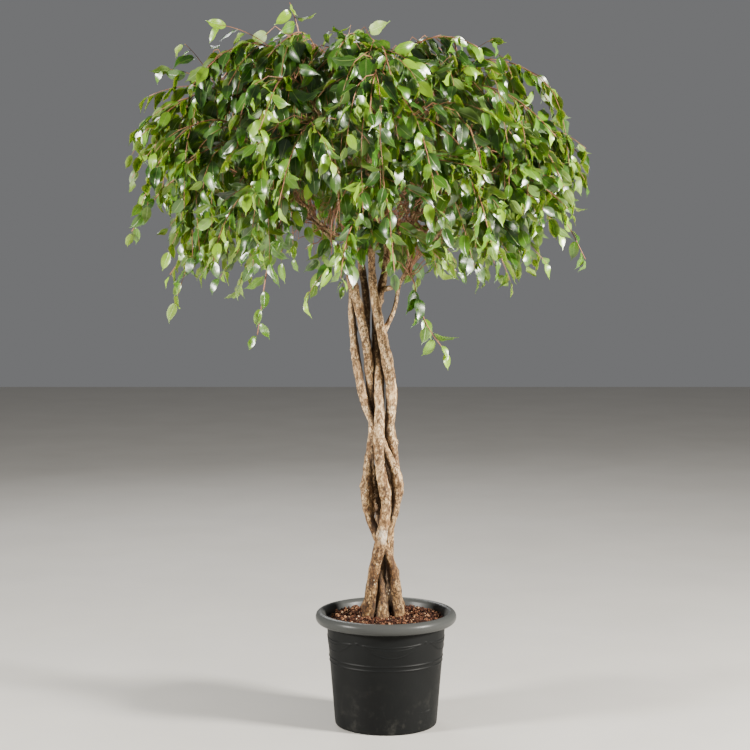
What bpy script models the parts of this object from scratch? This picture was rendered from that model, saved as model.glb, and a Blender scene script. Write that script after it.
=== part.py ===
"""A weeping fig with a braided trunk in a plastic nursery pot, about 1.8 m tall. Metres, +Z up, the origin at the
middle of the pot's foot. The camera of the photograph looks along +Y, so x runs to the right in it."""

import itertools
import math
import random

import bmesh
import bpy
from mathutils import Matrix, Vector
from mathutils.bvhtree import BVHTree
from mathutils.geometry import intersect_point_line

# Driving dimensions
RIM_DIAMETER = 0.350
POT_HEIGHT = 0.285
PLANT_HEIGHT = 1.770
CROWN_SPAN = 1.150
LEAF_LENGTH = 0.062
LEAF_WIDTH = 0.029
LEAF_THICKNESS = 0.0018
GAP = 0.0003
WELD = 0.000001
SEED = 22

COLOURS = {
    "pot": ((0.045, 0.05, 0.053), 0.45),
    "soil": ((0.10, 0.04, 0.025), 0.95),
    "bark": ((0.42, 0.32, 0.22), 0.8),
    "leaf": ((0.07, 0.22, 0.03), 0.35),
}


def clear_scene():
    for old in list(bpy.data.objects):
        bpy.data.objects.remove(old, do_unlink=True)


def make_collection(name):
    group = bpy.data.collections.new(name)
    bpy.context.scene.collection.children.link(group)
    return group


def make_material(name, kind):
    colour, roughness = COLOURS[kind]
    made = bpy.data.materials.new(name)
    made.use_nodes = True
    shader = made.node_tree.nodes["Principled BSDF"]
    shader.inputs["Base Color"].default_value = (*colour, 1.0)
    shader.inputs["Roughness"].default_value = roughness
    shader.inputs["Metallic"].default_value = 0.0
    return made


def add_mesh(name, mesh, group):
    made = bpy.data.objects.new(name, mesh)
    group.objects.link(made)
    return made


def evaluated_mesh(source):
    """The mesh that an object shows, with its modifiers, its loose caps welded."""
    bpy.context.view_layer.update()
    graph = bpy.context.evaluated_depsgraph_get()
    mesh = bpy.data.meshes.new_from_object(source.evaluated_get(graph))
    body = bmesh.new()
    body.from_mesh(mesh)
    bmesh.ops.remove_doubles(body, verts=body.verts, dist=WELD)
    bmesh.ops.recalc_face_normals(body, faces=body.faces)
    body.to_mesh(mesh)
    body.free()
    return mesh


def bake(source):
    """Replaces a curve or a mesh that has modifiers by the plain mesh that it shows."""
    name, group, place = source.name, source.users_collection[0], source.matrix_world.copy()
    mesh = evaluated_mesh(source)
    bpy.data.objects.remove(source, do_unlink=True)
    made = add_mesh(name, mesh, group)
    made.matrix_world = place
    return made


def is_one_closed_body(mesh):
    """Whether every edge joins two faces and all faces hang together."""
    body = bmesh.new()
    body.from_mesh(mesh)
    closed = all(len(edge.link_faces) == 2 for edge in body.edges)
    body.verts.ensure_lookup_table()
    seen, waiting = {body.verts[0]}, [body.verts[0]]
    while waiting:
        for edge in waiting.pop().link_edges:
            for other in edge.verts:
                if other not in seen:
                    seen.add(other)
                    waiting.append(other)
    whole = len(seen) == len(body.verts)
    body.free()
    return closed and whole


def join_all(body, group):
    """One Boolean union of a body with everything in a collection, applied, with the collection's objects removed.
    MANIFOLD takes over where EXACT leaves a crack."""
    joint = body.modifiers.new("join", "BOOLEAN")
    joint.operation = "UNION"
    joint.operand_type = "COLLECTION"
    joint.collection = group
    joint.solver = "EXACT"
    if not is_one_closed_body(evaluated_mesh(body)):
        joint.solver = "MANIFOLD"
    made = bake(body)
    for used in list(group.objects):
        bpy.data.objects.remove(used, do_unlink=True)
    return made


def finish(body, name, kind):
    body.name = name
    body.data.materials.clear()
    body.data.materials.append(make_material(name + " finish", kind))
    return body


def cross_section(sides):
    """A small flat ring of points that a curve carries along itself as its section."""
    ring = bpy.data.curves.new("section", "CURVE")
    ring.dimensions = "2D"
    spline = ring.splines.new("POLY")
    spline.points.add(sides - 1)
    for k, point in enumerate(spline.points):
        turn = -2 * math.pi * k / sides
        point.co = (math.cos(turn), math.sin(turn), 0, 1)
    spline.use_cyclic_u = True
    made = bpy.data.objects.new("section", ring)
    made.hide_render = True
    made.display_type = "WIRE"
    return made


def tube(name, points, radii, sides, group):
    """A closed tube through the points, with a radius for each, as a mesh."""
    line = bpy.data.curves.new(name, "CURVE")
    line.dimensions = "3D"
    line.bevel_mode = "OBJECT"
    line.bevel_object = SECTIONS[sides]
    line.use_fill_caps = True
    spline = line.splines.new("POLY")
    spline.points.add(len(points) - 1)
    for point, place, radius in zip(spline.points, points, radii):
        point.co = (*place, 1)
        point.radius = radius
    return bake(add_mesh(name, line, group))


# The pot is one turned shell. Its wall tapers to the foot and carries two thin ribs, and its rim is a hollow roll that
# is filled here. The floor has a foot ring, a middle pad and, between them, a raised channel with the drain holes.
POT_TURNS = 32
WALL = 0.0035
RIM_RADIUS = RIM_DIAMETER / 2
ROLL_WIDTH = 0.025
ROLL_HEIGHT = 0.029
NECK_RADIUS = 0.1475
FOOT_RADIUS = 0.127
FOOT_CHAMFER = 0.006
RIBS = (0.163, 0.174)
RIB_RISE = 0.0014
RIB_HALF = 0.0028
CHANNEL = (0.066, 0.104)
CHANNEL_RISE = 0.006
DRAINS = 8
DRAIN_RADIUS = 0.007
SWAGS = 5
FIRST_HOOK = math.radians(-120)
HOOK_HEIGHT = 0.226
SWAG_CORD = 0.0016
SWAG_DROPS = (0.009, 0.030)
SWAG_STEPS = 4


def outer_wall(height):
    """The radius of the pot's outer wall at a height, a straight taper from foot to neck."""
    low, high = FOOT_CHAMFER, POT_HEIGHT - ROLL_HEIGHT
    share = (height - low) / (high - low)
    return FOOT_RADIUS + (NECK_RADIUS - FOOT_RADIUS) * share


def pot_profile():
    """Radius and height from the middle of the inner floor, up the inside, over the roll and down to the pad below."""
    floor = CHANNEL_RISE + WALL
    roll_middle = RIM_RADIUS - ROLL_WIDTH / 2
    inner = [(0.0, floor), (outer_wall(floor) - WALL - 0.004, floor)]
    inner += [(outer_wall(floor + 0.004) - WALL, floor + 0.004)]
    neck = POT_HEIGHT - ROLL_HEIGHT
    inner += [(outer_wall(neck) - WALL, neck), (RIM_RADIUS - ROLL_WIDTH, POT_HEIGHT - ROLL_HEIGHT * 0.4)]
    roll = []
    for degrees in (120, 75, 30, -10, -50):
        turn = math.radians(degrees)
        across = ROLL_WIDTH / 2 * math.cos(turn)
        up = ROLL_HEIGHT * (0.5 + 0.5 * math.sin(turn)) if degrees > 0 else ROLL_HEIGHT * 0.5 * (1 + math.sin(turn))
        roll.append((roll_middle + across, POT_HEIGHT - ROLL_HEIGHT + up))
    wall = [(outer_wall(neck), neck)]
    for rib in reversed(RIBS):
        wall += [(outer_wall(rib + RIB_HALF), rib + RIB_HALF), (outer_wall(rib) + RIB_RISE, rib)]
        wall += [(outer_wall(rib - RIB_HALF), rib - RIB_HALF)]
    wall += [(FOOT_RADIUS, FOOT_CHAMFER), (FOOT_RADIUS - FOOT_CHAMFER, 0.0)]
    below = [(CHANNEL[1], 0.0), (CHANNEL[1] - 0.003, CHANNEL_RISE), (CHANNEL[0] + 0.003, CHANNEL_RISE)]
    below += [(CHANNEL[0], 0.0), (0.0, 0.0)]
    return inner + roll + wall + below


def turned(name, profile, turns, group):
    """A profile of radius and height turned once round the upright axis."""
    mesh = bpy.data.meshes.new(name)
    edges = [(k, k + 1) for k in range(len(profile) - 1)]
    mesh.from_pydata([(radius, 0, height) for radius, height in profile], edges, [])
    body = add_mesh(name, mesh, group)
    screw = body.modifiers.new("turn", "SCREW")
    screw.steps = turns
    screw.render_steps = turns
    screw.use_merge_vertices = True
    screw.merge_threshold = WELD
    return bake(body)


def swag_route(first, drop):
    """One cord of the festoon, hung between two hooks on the wall as a shallow arc."""
    span = 2 * math.pi / SWAGS
    margin = 0.10
    route = []
    for k in range(SWAG_STEPS + 1):
        share = k / SWAG_STEPS
        turn = first + span * (margin + (1 - 2 * margin) * share)
        height = HOOK_HEIGHT - drop * 4 * share * (1 - share)
        radius = outer_wall(height)
        route.append(Vector((radius * math.cos(turn), radius * math.sin(turn), height)))
    return route


def hook(first, group):
    """The small three-sided stud that a swag hangs from."""
    radius = outer_wall(HOOK_HEIGHT)
    bpy.ops.mesh.primitive_cone_add(vertices=3, radius1=0.0045, radius2=0.003, depth=0.005)
    stud = bpy.context.object
    facing = Matrix.Rotation(first, 4, "Z") @ Matrix.Rotation(math.pi / 2, 4, "Y")
    place = Vector((radius * math.cos(first), radius * math.sin(first), HOOK_HEIGHT + 0.003))
    stud.matrix_world = Matrix.Translation(place) @ facing
    for owner in list(stud.users_collection):
        owner.objects.unlink(stud)
    group.objects.link(stud)


def drain(turn, group):
    bpy.ops.mesh.primitive_cylinder_add(vertices=8, radius=DRAIN_RADIUS, depth=0.04)
    cutter = bpy.context.object
    reach = sum(CHANNEL) / 2
    cutter.location = (reach * math.cos(turn), reach * math.sin(turn), CHANNEL_RISE)
    for owner in list(cutter.users_collection):
        owner.objects.unlink(cutter)
    group.objects.link(cutter)
    cutter.hide_render = True
    cutter.display_type = "WIRE"


def make_pot():
    body = turned("pot", pot_profile(), POT_TURNS, FIG)
    for k in range(SWAGS):
        first = FIRST_HOOK + 2 * math.pi * k / SWAGS
        hook(first, REPEATS)
        for drop in SWAG_DROPS:
            route = swag_route(first, drop)
            tube("swag cord", route, [SWAG_CORD] * len(route), TWIG_SIDES, REPEATS)
    body = join_all(body, REPEATS)
    for k in range(DRAINS):
        drain(2 * math.pi * k / DRAINS, CUTTERS)
    cut = body.modifiers.new("drain", "BOOLEAN")
    cut.operation = "DIFFERENCE"
    cut.operand_type = "COLLECTION"
    cut.collection = CUTTERS
    body = bake(body)
    for used in list(CUTTERS.objects):
        bpy.data.objects.remove(used, do_unlink=True)
    return finish(body, "pot", "pot")


# The trunk is five stems braided into a cage: they cross in two tight bundles and bow apart between them. Each knot is
# height, across and depth in millimetres, with the stem's radius there.
STEM_KNOTS = {
    "stem_front": [
        (200, -44, -18, 14), (262, -45, -22, 14), (325, -40, -25, 13.5), (390, -30, -28, 13), (465, -13, -31, 12),
        (540, 0, -31, 12), (580, 2, -30, 12), (635, -15, -32, 12), (680, -19, -33, 12), (740, -18, -34, 12),
        (785, -15, -28, 12), (850, -19, -16, 11.5), (915, -22, 2, 11), (980, -24, 16, 10.5), (1045, -24, 22, 10),
        (1080, -14, 22, 9.5), (1120, -2, 22, 9.5),
    ],
    "stem_right": [
        (200, 16, 20, 12), (292, 13, 18, 12), (358, 11, 24, 11), (445, 9, 31, 9.5), (510, 9, 27, 10),
        (575, 20, 14, 10.5), (625, 25, 6, 10.5), (687, 15, 0, 10), (726, 7, -18, 10.5), (755, 5, -24, 11),
        (790, 14, -26, 11.5), (850, 13, -26, 12), (912, 2, -24, 12), (968, -10, -20, 12), (1035, -25, -14, 11),
        (1087, -33, -10, 10.5), (1140, -35, -8, 10),
    ],
    "stem_left": [
        (200, -3, -44, 13), (264, -6, -40, 13), (314, -11, -16, 12), (375, -13, -2, 11), (438, -5, 10, 9.5),
        (488, 9, 6, 9.5), (540, 22, -10, 11.5), (595, 32, -18, 12), (644, 24, -18, 12), (684, 2, -14, 10),
        (735, -22, -10, 9.5), (770, -40, -14, 9.5), (807, -54, -16, 9.5), (850, -64, -14, 9.5), (922, -74, -8, 9),
        (983, -82, -2, 8.5), (1035, -84, 8, 8.5), (1080, -81, 16, 8), (1130, -89, 20, 7.5),
    ],
    "stem_middle": [
        (200, 31, -14, 14.5), (263, 30, -12, 14.5), (318, 27, -12, 14), (398, 15, -10, 12), (448, -5, -10, 9.5),
        (476, -25, -11, 10), (514, -42, -14, 10.5), (565, -49, -16, 11), (620, -48, -14, 11), (682, -37, 0, 10),
        (732, -29, 12, 9.5), (772, -31, 10, 9.5), (823, -35, 0, 10), (886, -37, -12, 10), (936, -46, -18, 10),
        (985, -55, -20, 10), (1035, -64, -20, 11), (1082, -81, -18, 11.5), (1130, -89, -18, 10.5),
    ],
    "stem_back": [
        (200, -28, 16, 12), (277, -30, 16, 12), (355, -25, 18, 11), (445, -13, 28, 9.5), (484, -15, 26, 9.5),
        (560, -17, 20, 10), (635, -15, 18, 10), (697, -5, 16, 9.5), (735, 0, 12, 9.5), (784, -13, 12, 9.5),
        (846, -27, 14, 9.5), (909, -42, 8, 9.5), (971, -49, 4, 9), (1027, -48, 6, 9), (1061, -46, 8, 9),
        (1105, -55, 10, 9), (1150, -64, 12, 8.5),
    ],
}
MILLIMETRE = 0.001
STEM_SIDES = 6
STEM_STEP = 0.030
STEM_SINK = 0.200
STEM_CLEARANCE = 0.0010
SETTLE_ROUNDS = 120


def hermite(knots, places, where):
    """A smooth value at a place along knots, by a cubic between neighbours with mean slopes at each."""
    last = len(places) - 1
    k = max(0, min(last - 1, sum(place <= where for place in places) - 1))
    span = places[k + 1] - places[k]
    share = (where - places[k]) / span

    def slope(i):
        low, high = max(0, i - 1), min(last, i + 1)
        return (knots[high] - knots[low]) / (places[high] - places[low]) * span

    square, cube = share**2, share**3
    return (
        knots[k] * (2 * cube - 3 * square + 1)
        + slope(k) * (cube - 2 * square + share)
        + knots[k + 1] * (3 * square - 2 * cube)
        + slope(k + 1) * (cube - square)
    )


def stem_levels(knots):
    """A stem's centres and radii at even heights from its foot in the soil to its top."""
    heights = [knot[0] * MILLIMETRE for knot in knots]
    top = heights[-1]
    count = round((top - STEM_SINK) / STEM_STEP)
    levels = []
    for k in range(count + 1):
        height = STEM_SINK + STEM_STEP * k
        across, depth, radius = (
            hermite([knot[i] * MILLIMETRE for knot in knots], heights, min(height, top)) for i in (1, 2, 3)
        )
        levels.append([across, depth, height, radius])
    return levels


def settle(stems):
    """Pushes the stems apart, more in depth than across, until they only touch where they cross. The last rounds push
    without smoothing, so that nothing is left overlapping."""
    pairs = list(itertools.combinations(stems.values(), 2))
    for turn in range(SETTLE_ROUNDS):
        for one, two in pairs:
            for level in range(min(len(one), len(two)) - 1):
                for share in (0.0, 1 / 3, 2 / 3):
                    part_pair(one, two, level, share)
        if turn < SETTLE_ROUNDS / 2:
            for levels in stems.values():
                ease(levels)


def part_pair(one, two, level, share):
    """Pushes two stems apart at a share of the way from one level to the next."""
    low_a, high_a, low_b, high_b = one[level], one[level + 1], two[level], two[level + 1]
    a = [low + (high - low) * share for low, high in zip(low_a, high_a)]
    b = [low + (high - low) * share for low, high in zip(low_b, high_b)]
    across, depth = b[0] - a[0], b[1] - a[1]
    apart = math.hypot(across, depth)
    wanted = a[3] * lean(low_a, high_a) + b[3] * lean(low_b, high_b) + STEM_CLEARANCE
    if apart >= wanted:
        return
    across, depth = across / apart * 0.5, depth / apart
    if abs(depth) < 0.3:
        depth = math.copysign(0.3, depth)
    push = (wanted - apart) / 2 / math.hypot(across, depth)
    for end, weight in ((low_a, share - 1), (high_a, -share), (low_b, 1 - share), (high_b, share)):
        end[0] += across * push * weight
        end[1] += depth * push * weight


def lean(low, high):
    """How much wider a level cut of the stem is than the stem itself."""
    rise = high[2] - low[2]
    return math.hypot(high[0] - low[0], high[1] - low[1], rise) / rise


def ease(levels):
    """Smooths a stem a little along its length, in depth more than across."""
    for axis, share in ((0, 0.02), (1, 0.12)):
        old = [level[axis] for level in levels]
        for k in range(1, len(levels) - 1):
            levels[k][axis] += share * ((old[k - 1] + old[k + 1]) / 2 - old[k])


# Limbs carry each stem on into its own sector of the crown. Those that the photograph shows are routes chosen by hand,
# in millimetres; the others rise and spread by a rule. Each ends in smaller limbs, one to each leafy spray.
LIMB_SIDES = 4
CROWN_MIDDLE = Vector((-0.070, 0.0, 0.0))
CROWN_DEPTH = 0.94
DOME_TOP = PLANT_HEIGHT - 0.045
DOME_FOOT = 1.300
DOME_POWER = 2.5


def in_crown(place, spare):
    """Whether a place is inside the crown's dome by a spare distance. Under the dome's foot it falls straight."""
    flat = place - CROWN_MIDDLE
    reach = math.hypot(flat.x, flat.y / CROWN_DEPTH) / (CROWN_SPAN / 2 - spare)
    rise = max(0.0, place.z - DOME_FOOT) / (DOME_TOP - DOME_FOOT - spare)
    return reach**DOME_POWER + rise**DOME_POWER < 1


def metres(points):
    return [Vector(point) * MILLIMETRE for point in points]


def smooth_route(points, steps):
    """Evenly shared points on a smooth curve through a route's own points."""
    reach = [0.0]
    for a, b in zip(points, points[1:]):
        reach.append(reach[-1] + (b - a).length)
    route = []
    for k in range(steps + 1):
        where = reach[-1] * k / steps
        route.append(Vector([hermite([p[i] for p in points], reach, where) for i in range(3)]))
    return route


SECTORS = {
    "stem_front": 5,
    "stem_back": 75,
    "stem_left": 145,
    "stem_middle": 215,
    "stem_right": 290,
}
LIMB_ROUTES = {
    "stem_front": [
        ((-2, 22, 1115), (5, 24, 1150), (0, 26, 1195), (-5, 30, 1230), (15, 34, 1300), (45, 30, 1390), (80, 22, 1480),
         (120, 15, 1545)),
        ((-14, 22, 1080), (9, -4, 1087), (29, -25, 1097), (45, -37, 1113), (57, -42, 1135), (55, -48, 1160),
         (50, -53, 1195), (62, -60, 1250), (105, -62, 1320), (165, -50, 1385), (215, -40, 1430)),
        ((0, 26, 1190), (30, 34, 1225), (85, 45, 1275), (150, 50, 1330), (210, 50, 1370)),
    ],
    "stem_right": [
        ((-35, -8, 1135), (-38, -12, 1200), (-42, -28, 1290), (-40, -55, 1380), (-35, -85, 1470), (-30, -115, 1545)),
        ((-8, -19, 970), (17, 0, 1027), (29, 8, 1074), (38, 10, 1108), (62, 2, 1145), (105, -25, 1195),
         (155, -70, 1250), (195, -110, 1300)),
        ((-38, -12, 1185), (-25, -50, 1230), (-5, -110, 1290), (15, -175, 1350)),
    ],
    "stem_middle": [
        ((-89, -18, 1125), (-92, -26, 1195), (-98, -36, 1265), (-121, -50, 1373), (-145, -65, 1469), (-166, -75, 1526),
         (-194, -85, 1577), (-229, -95, 1612)),
        ((-90, -22, 1160), (-102, -45, 1212), (-128, -70, 1225), (-164, -100, 1247), (-191, -120, 1286),
         (-228, -140, 1338)),
    ],
    "stem_left": [
        ((-89, 20, 1125), (-98, 28, 1200), (-118, 48, 1300), (-145, 75, 1400), (-175, 100, 1490), (-210, 122, 1560)),
        ((-93, 22, 1155), (-130, 50, 1200), (-195, 90, 1260), (-265, 125, 1330)),
    ],
    "stem_back": [
        ((-64, 12, 1145), (-60, 30, 1220), (-50, 65, 1320), (-40, 105, 1430), (-35, 140, 1530)),
        ((-62, 22, 1190), (-45, 60, 1225), (-15, 125, 1280), (15, 195, 1345)),
        ((-55, 48, 1270), (-10, 85, 1310), (60, 115, 1370), (125, 135, 1430)),
    ],
}
LIMB_RADII = ((0.0095, 0.0042), (0.0062, 0.0036), (0.0058, 0.0036))
LIMB_STEP = 0.070
FORK_RADII = (0.0040, 0.0027)
FORK_STEPS = 3
TWIG_RADIUS = 0.0024
TWIG_TIP = 0.0015
TWIG_SIDES = 3
TWIG_STEPS = 5
CLEARANCE = 0.0015

# Rings of leafy sprays: how many, how far out from the crown's middle and how high they start, the angle at which
# they leave, their length, and the turn of the ring.
RINGS = (
    (5, 0.090, 1.575, 60, 0.28, 20),
    (8, 0.195, 1.545, 42, 0.38, 5),
    (8, 0.270, 1.455, 36, 0.44, 28),
    (8, 0.290, 1.340, 24, 0.42, 8),
    (3, 0.170, 1.270, 8, 0.34, 50),
)
DROOP = 5.2


class Growth:
    """What has been grown so far, as closed outlines that nothing new may cross."""

    def __init__(self):
        self.kept = []

    def crosses(self, outline, skip=()):
        points, faces = outline
        tree = BVHTree.FromPolygons(points, faces)
        middle, reach = around(points)
        for owner, other, other_middle, other_reach in self.kept:
            if owner in skip or (middle - other_middle).length > reach + other_reach:
                continue
            if tree.overlap(other):
                return True
        return False

    def keep(self, owner, outline):
        points, faces = outline
        self.kept.append((owner, BVHTree.FromPolygons(points, faces), *around(points)))


def around(points):
    middle = sum(points, Vector()) / len(points)
    return middle, max((point - middle).length for point in points)


def tube_outline(points, radii):
    """A square tube round a route, as points and faces, for the tests of what crosses what."""
    corners, faces = [], []
    for k, (place, radius) in enumerate(zip(points, radii)):
        ahead = (points[min(k + 1, len(points) - 1)] - points[max(k - 1, 0)]).normalized()
        side = ahead.cross(Vector((0.3, 0.2, 0.93))).normalized()
        over = side.cross(ahead)
        for turn in range(4):
            angle = math.pi / 2 * turn
            corners.append(place + (side * math.cos(angle) + over * math.sin(angle)) * radius * 1.25)
        if k:
            for turn in range(4):
                a, b = 4 * (k - 1) + turn, 4 * (k - 1) + (turn + 1) % 4
                faces.append((a, b, b + 4, a + 4))
    return corners, faces


def between(first, last, count):
    return [first + (last - first) * k / (count - 1) for k in range(count)]


def stem_at(levels, height):
    """A stem's centre and radius at a height."""
    k = max(0, min(len(levels) - 2, int((height - STEM_SINK) / STEM_STEP)))
    share = min(1.0, (height - levels[k][2]) / STEM_STEP)
    mixed = [low + (high - low) * share for low, high in zip(levels[k], levels[k + 1])]
    return Vector(mixed[:3]), mixed[3]


def limb(route, radii):
    """A main limb: a smooth tapering tube along a route."""
    length = sum((b - a).length for a, b in zip(route, route[1:]))
    steps = max(3, round(length / LIMB_STEP))
    points = smooth_route(route, steps)
    return points, between(*radii, len(points))


def fork_route(foot, heading, tip, leaving):
    """The smooth line of a small limb from the limb it forks from to the foot of a spray."""
    reach = (tip - foot).length
    points = []
    for k in range(FORK_STEPS + 1):
        s = k / FORK_STEPS
        square, cube = s**2, s**3
        points.append(
            foot * (2 * cube - 3 * square + 1)
            + heading * reach * (cube - 2 * square + s)
            + tip * (3 * square - 2 * cube)
            + leaving * reach * (cube - square)
        )
    return points


def arch(foot, heading, length, droop, wander):
    """A twig's route: it leaves along its heading and bends out and down under its leaves, with a little wander."""
    points = [foot]
    ahead = heading.copy()
    step = length / TWIG_STEPS
    pull = outward_of(foot) * 0.25 - Vector((0, 0, 1))
    for _ in range(TWIG_STEPS):
        points.append(points[-1] + ahead * step)
        sway = Vector((wander.uniform(-1, 1), wander.uniform(-1, 1), 0)) * 0.12
        ahead = (ahead + pull * droop * step + sway).normalized()
    return points


def along(points, share):
    """The place and the direction at a share of a route's points."""
    where = share * (len(points) - 1)
    k = min(int(where), len(points) - 2)
    ahead = points[k + 1] - points[k]
    return points[k] + ahead * (where - k), ahead.normalized()


# A leaf is a thin blade folded along its middle: a narrow foot, widest before the half, a long drip tip. Each point of
# its edge is a share of the length, a share of the half width, and how far the waved edge stands up from the middle,
# as a share of the width. Its two faces meet at the edge; the foot is an upright edge, sunk in the twig.
LEAF_EDGE = (
    (0.13, 0.20, 0.03), (0.42, 1.0, 0.20), (0.74, 0.52, 0.05), (1.0, 0.0, -0.05), (0.72, -0.50, 0.16),
    (0.40, -1.0, 0.10), (0.13, -0.20, 0.03),
)
LEAF_MIDDLE = 0.46
LEAF_FOOT = 0.0010
ROOT_ROOM = 0.006


def leaf_solid(foot, ahead, facing, length, width, thickness):
    """The corners and faces of a leaf, in world space: its edge, the foot and the middle of its back, and the foot and
    the middle of its face."""
    across = facing.cross(ahead).normalized()
    upright = ahead.cross(across)
    corners = []
    for share, half, rise in LEAF_EDGE:
        corners.append(foot + ahead * share * length + across * half * width / 2 + upright * rise * width)
    middle = foot + ahead * LEAF_MIDDLE * length
    corners += [foot - upright * LEAF_FOOT / 2, middle - upright * thickness / 2]
    corners += [foot + upright * LEAF_FOOT / 2, middle + upright * thickness / 2]
    return corners, leaf_faces(len(LEAF_EDGE))


def leaf_faces(count):
    """The back's fan and the face's fan, split alike, and the two slivers beside the foot."""
    back_foot, back_middle, face_foot, face_middle = range(count, count + 4)
    last = count - 1
    faces = [(k, k + 1, back_middle) for k in range(last)] + [(last, back_foot, back_middle), (back_foot, 0, back_middle)]
    faces += [(k + 1, k, face_middle) for k in range(last)]
    faces += [(face_foot, last, face_middle), (0, face_foot, face_middle)]
    return faces + [(0, back_foot, face_foot), (last, face_foot, back_foot)]


def leaf_outline(solid, spare):
    """A leaf's solid moved off its root and grown by a spare thickness, for the tests."""
    corners, faces = solid
    count = len(LEAF_EDGE)
    upright = (corners[count + 3] - corners[count + 1]).normalized()
    ahead = (corners[count // 2] - corners[count]).normalized()
    points = [corner.copy() for corner in corners]
    points[count] += ahead * ROOT_ROOM - upright * spare
    points[count + 2] += ahead * ROOT_ROOM + upright * spare
    points[count + 1] -= upright * spare
    points[count + 3] += upright * spare
    return points, faces


def add_leaf(solid, group):
    mesh = bpy.data.meshes.new("leaf")
    corners, faces = solid
    mesh.from_pydata(corners, [], faces)
    add_mesh("leaf", mesh, group)


def place_leaf(growth, owner, draw, foot, ahead, side, outward):
    """Hangs one leaf from a twig, turned until it crosses nothing. Gives its corners, or nothing if no turn is free."""
    for attempt in range(24):
        spread = draw.uniform(0.25, 0.75)
        heading = ahead * 0.45 + side * spread + outward * draw.uniform(0.0, 0.3) - Vector((0, 0, draw.uniform(0.5, 1.1)))
        heading.normalize()
        facing = outward * 0.7 + Vector((0, 0, 0.6)) + side * draw.uniform(-0.6, 0.6)
        facing = (facing - heading * facing.dot(heading)).normalized()
        size = draw.uniform(0.82, 1.12)
        solid = leaf_solid(foot, heading, facing, LEAF_LENGTH * size, LEAF_WIDTH * size, LEAF_THICKNESS)
        if not growth.crosses(leaf_outline(solid, CLEARANCE)):
            growth.keep(owner, leaf_outline(solid, 0.0))
            return solid
    return None


# The soil fills the pot to a little under its rim, mounded and crumbly, with a plain hole for each stem.
SOIL_LEVEL = 0.266
SOIL_MOUND = 0.008
SOIL_RINGS = 3
SOIL_CRUMBS = 0.0022
HOLE_SPARE = 0.0006
HOLE_TOP = 0.330


def inner_wall(height):
    return outer_wall(height) - WALL


def soil_profile():
    """Radius and height from the middle of the soil's top, out to the wall, and down to the middle of the pot's floor."""
    floor = CHANNEL_RISE + WALL + GAP
    edge = inner_wall(SOIL_LEVEL - 0.004) - GAP * 2
    top = [(edge * k / SOIL_RINGS, SOIL_LEVEL + SOIL_MOUND * (1 - (k / SOIL_RINGS) ** 2)) for k in range(SOIL_RINGS)]
    turn_in = 0.006
    return [*top, (edge, SOIL_LEVEL - 0.004), (inner_wall(floor + turn_in) - GAP * 2, floor + turn_in),
            (inner_wall(floor) - turn_in, floor), (0.0, floor)]


def make_soil(stems):
    crumbs = random.Random(SEED)
    body = turned("soil", soil_profile(), POT_TURNS, FIG)
    for point in body.data.vertices:
        if point.co.z > SOIL_LEVEL - 0.002:
            point.co.z += crumbs.uniform(-SOIL_CRUMBS, SOIL_CRUMBS)
    for levels in stems.values():
        buried = [level for level in levels if level[2] < HOLE_TOP]
        points = [Vector(level[:3]) for level in buried]
        radii = [level[3] + HOLE_SPARE for level in buried]
        points[0] += (points[0] - points[1]).normalized() * HOLE_SPARE
        hole = tube("hole", points, radii, STEM_SIDES, CUTTERS)
        hole.hide_render = True
        hole.display_type = "WIRE"
    cut = body.modifiers.new("holes", "BOOLEAN")
    cut.operation = "DIFFERENCE"
    cut.operand_type = "COLLECTION"
    cut.collection = CUTTERS
    body = bake(body)
    for used in list(CUTTERS.objects):
        bpy.data.objects.remove(used, do_unlink=True)
    return finish(body, "soil", "soil")


# Leafy sprays that the photograph shows by themselves: a tall shoot at the top, a twig that hangs low in front and one
# that hangs lowest at the left. Each has its stem, and its route by hand in millimetres from a limb of that stem, of
# which the first stretch is wood.
LONE_ROUTES = (
    ("stem_middle", ((-194, -85, 1577), (-199, -86, 1600), (-202, -87, 1640), (-205, -88, 1681), (-214, -92, 1722),
                     (-229, -96, 1768))),
    ("stem_front", ((57, -42, 1135), (62, -49, 1116), (69, -60, 1078), (86, -75, 1028), (103, -85, 992),
                    (122, -92, 965), (146, -97, 935))),
    ("stem_middle", ((-205, -128, 1308), (-228, -140, 1286), (-256, -152, 1236), (-276, -160, 1170), (-290, -164, 1095),
                     (-300, -166, 1020), (-306, -166, 985))),
)
LONE_WOOD = 0.035


def nearest_on(limbs, place):
    """The place on the middle lines of some limbs that is nearest to a given one."""
    best = None
    for points, radii in limbs:
        for a, b in zip(points, points[1:]):
            near, share = intersect_point_line(place, a, b)
            near = a if share < 0 else b if share > 1 else near
            if best is None or (near - place).length < (best - place).length:
                best = near
    return best


def lone_spray(limbs, route):
    """The little limb that bears a spray routed by hand, and the twig that carries it on."""
    points = [nearest_on(limbs, Vector(route[0]) * MILLIMETRE), *metres(route[1:])]
    length = sum((b - a).length for a, b in zip(points, points[1:]))
    way = smooth_route(points, round(length / LONE_WOOD))
    leaving = (way[1] - way[0]).normalized()
    twig = smooth_route([way[1] + leaving * LONE_WOOD / 4, *way[2:]], TWIG_STEPS)
    twig.insert(0, way[1] + leaving * GAP)
    return way[:2], (twig, between(TWIG_RADIUS, TWIG_TIP, len(twig)))


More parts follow.
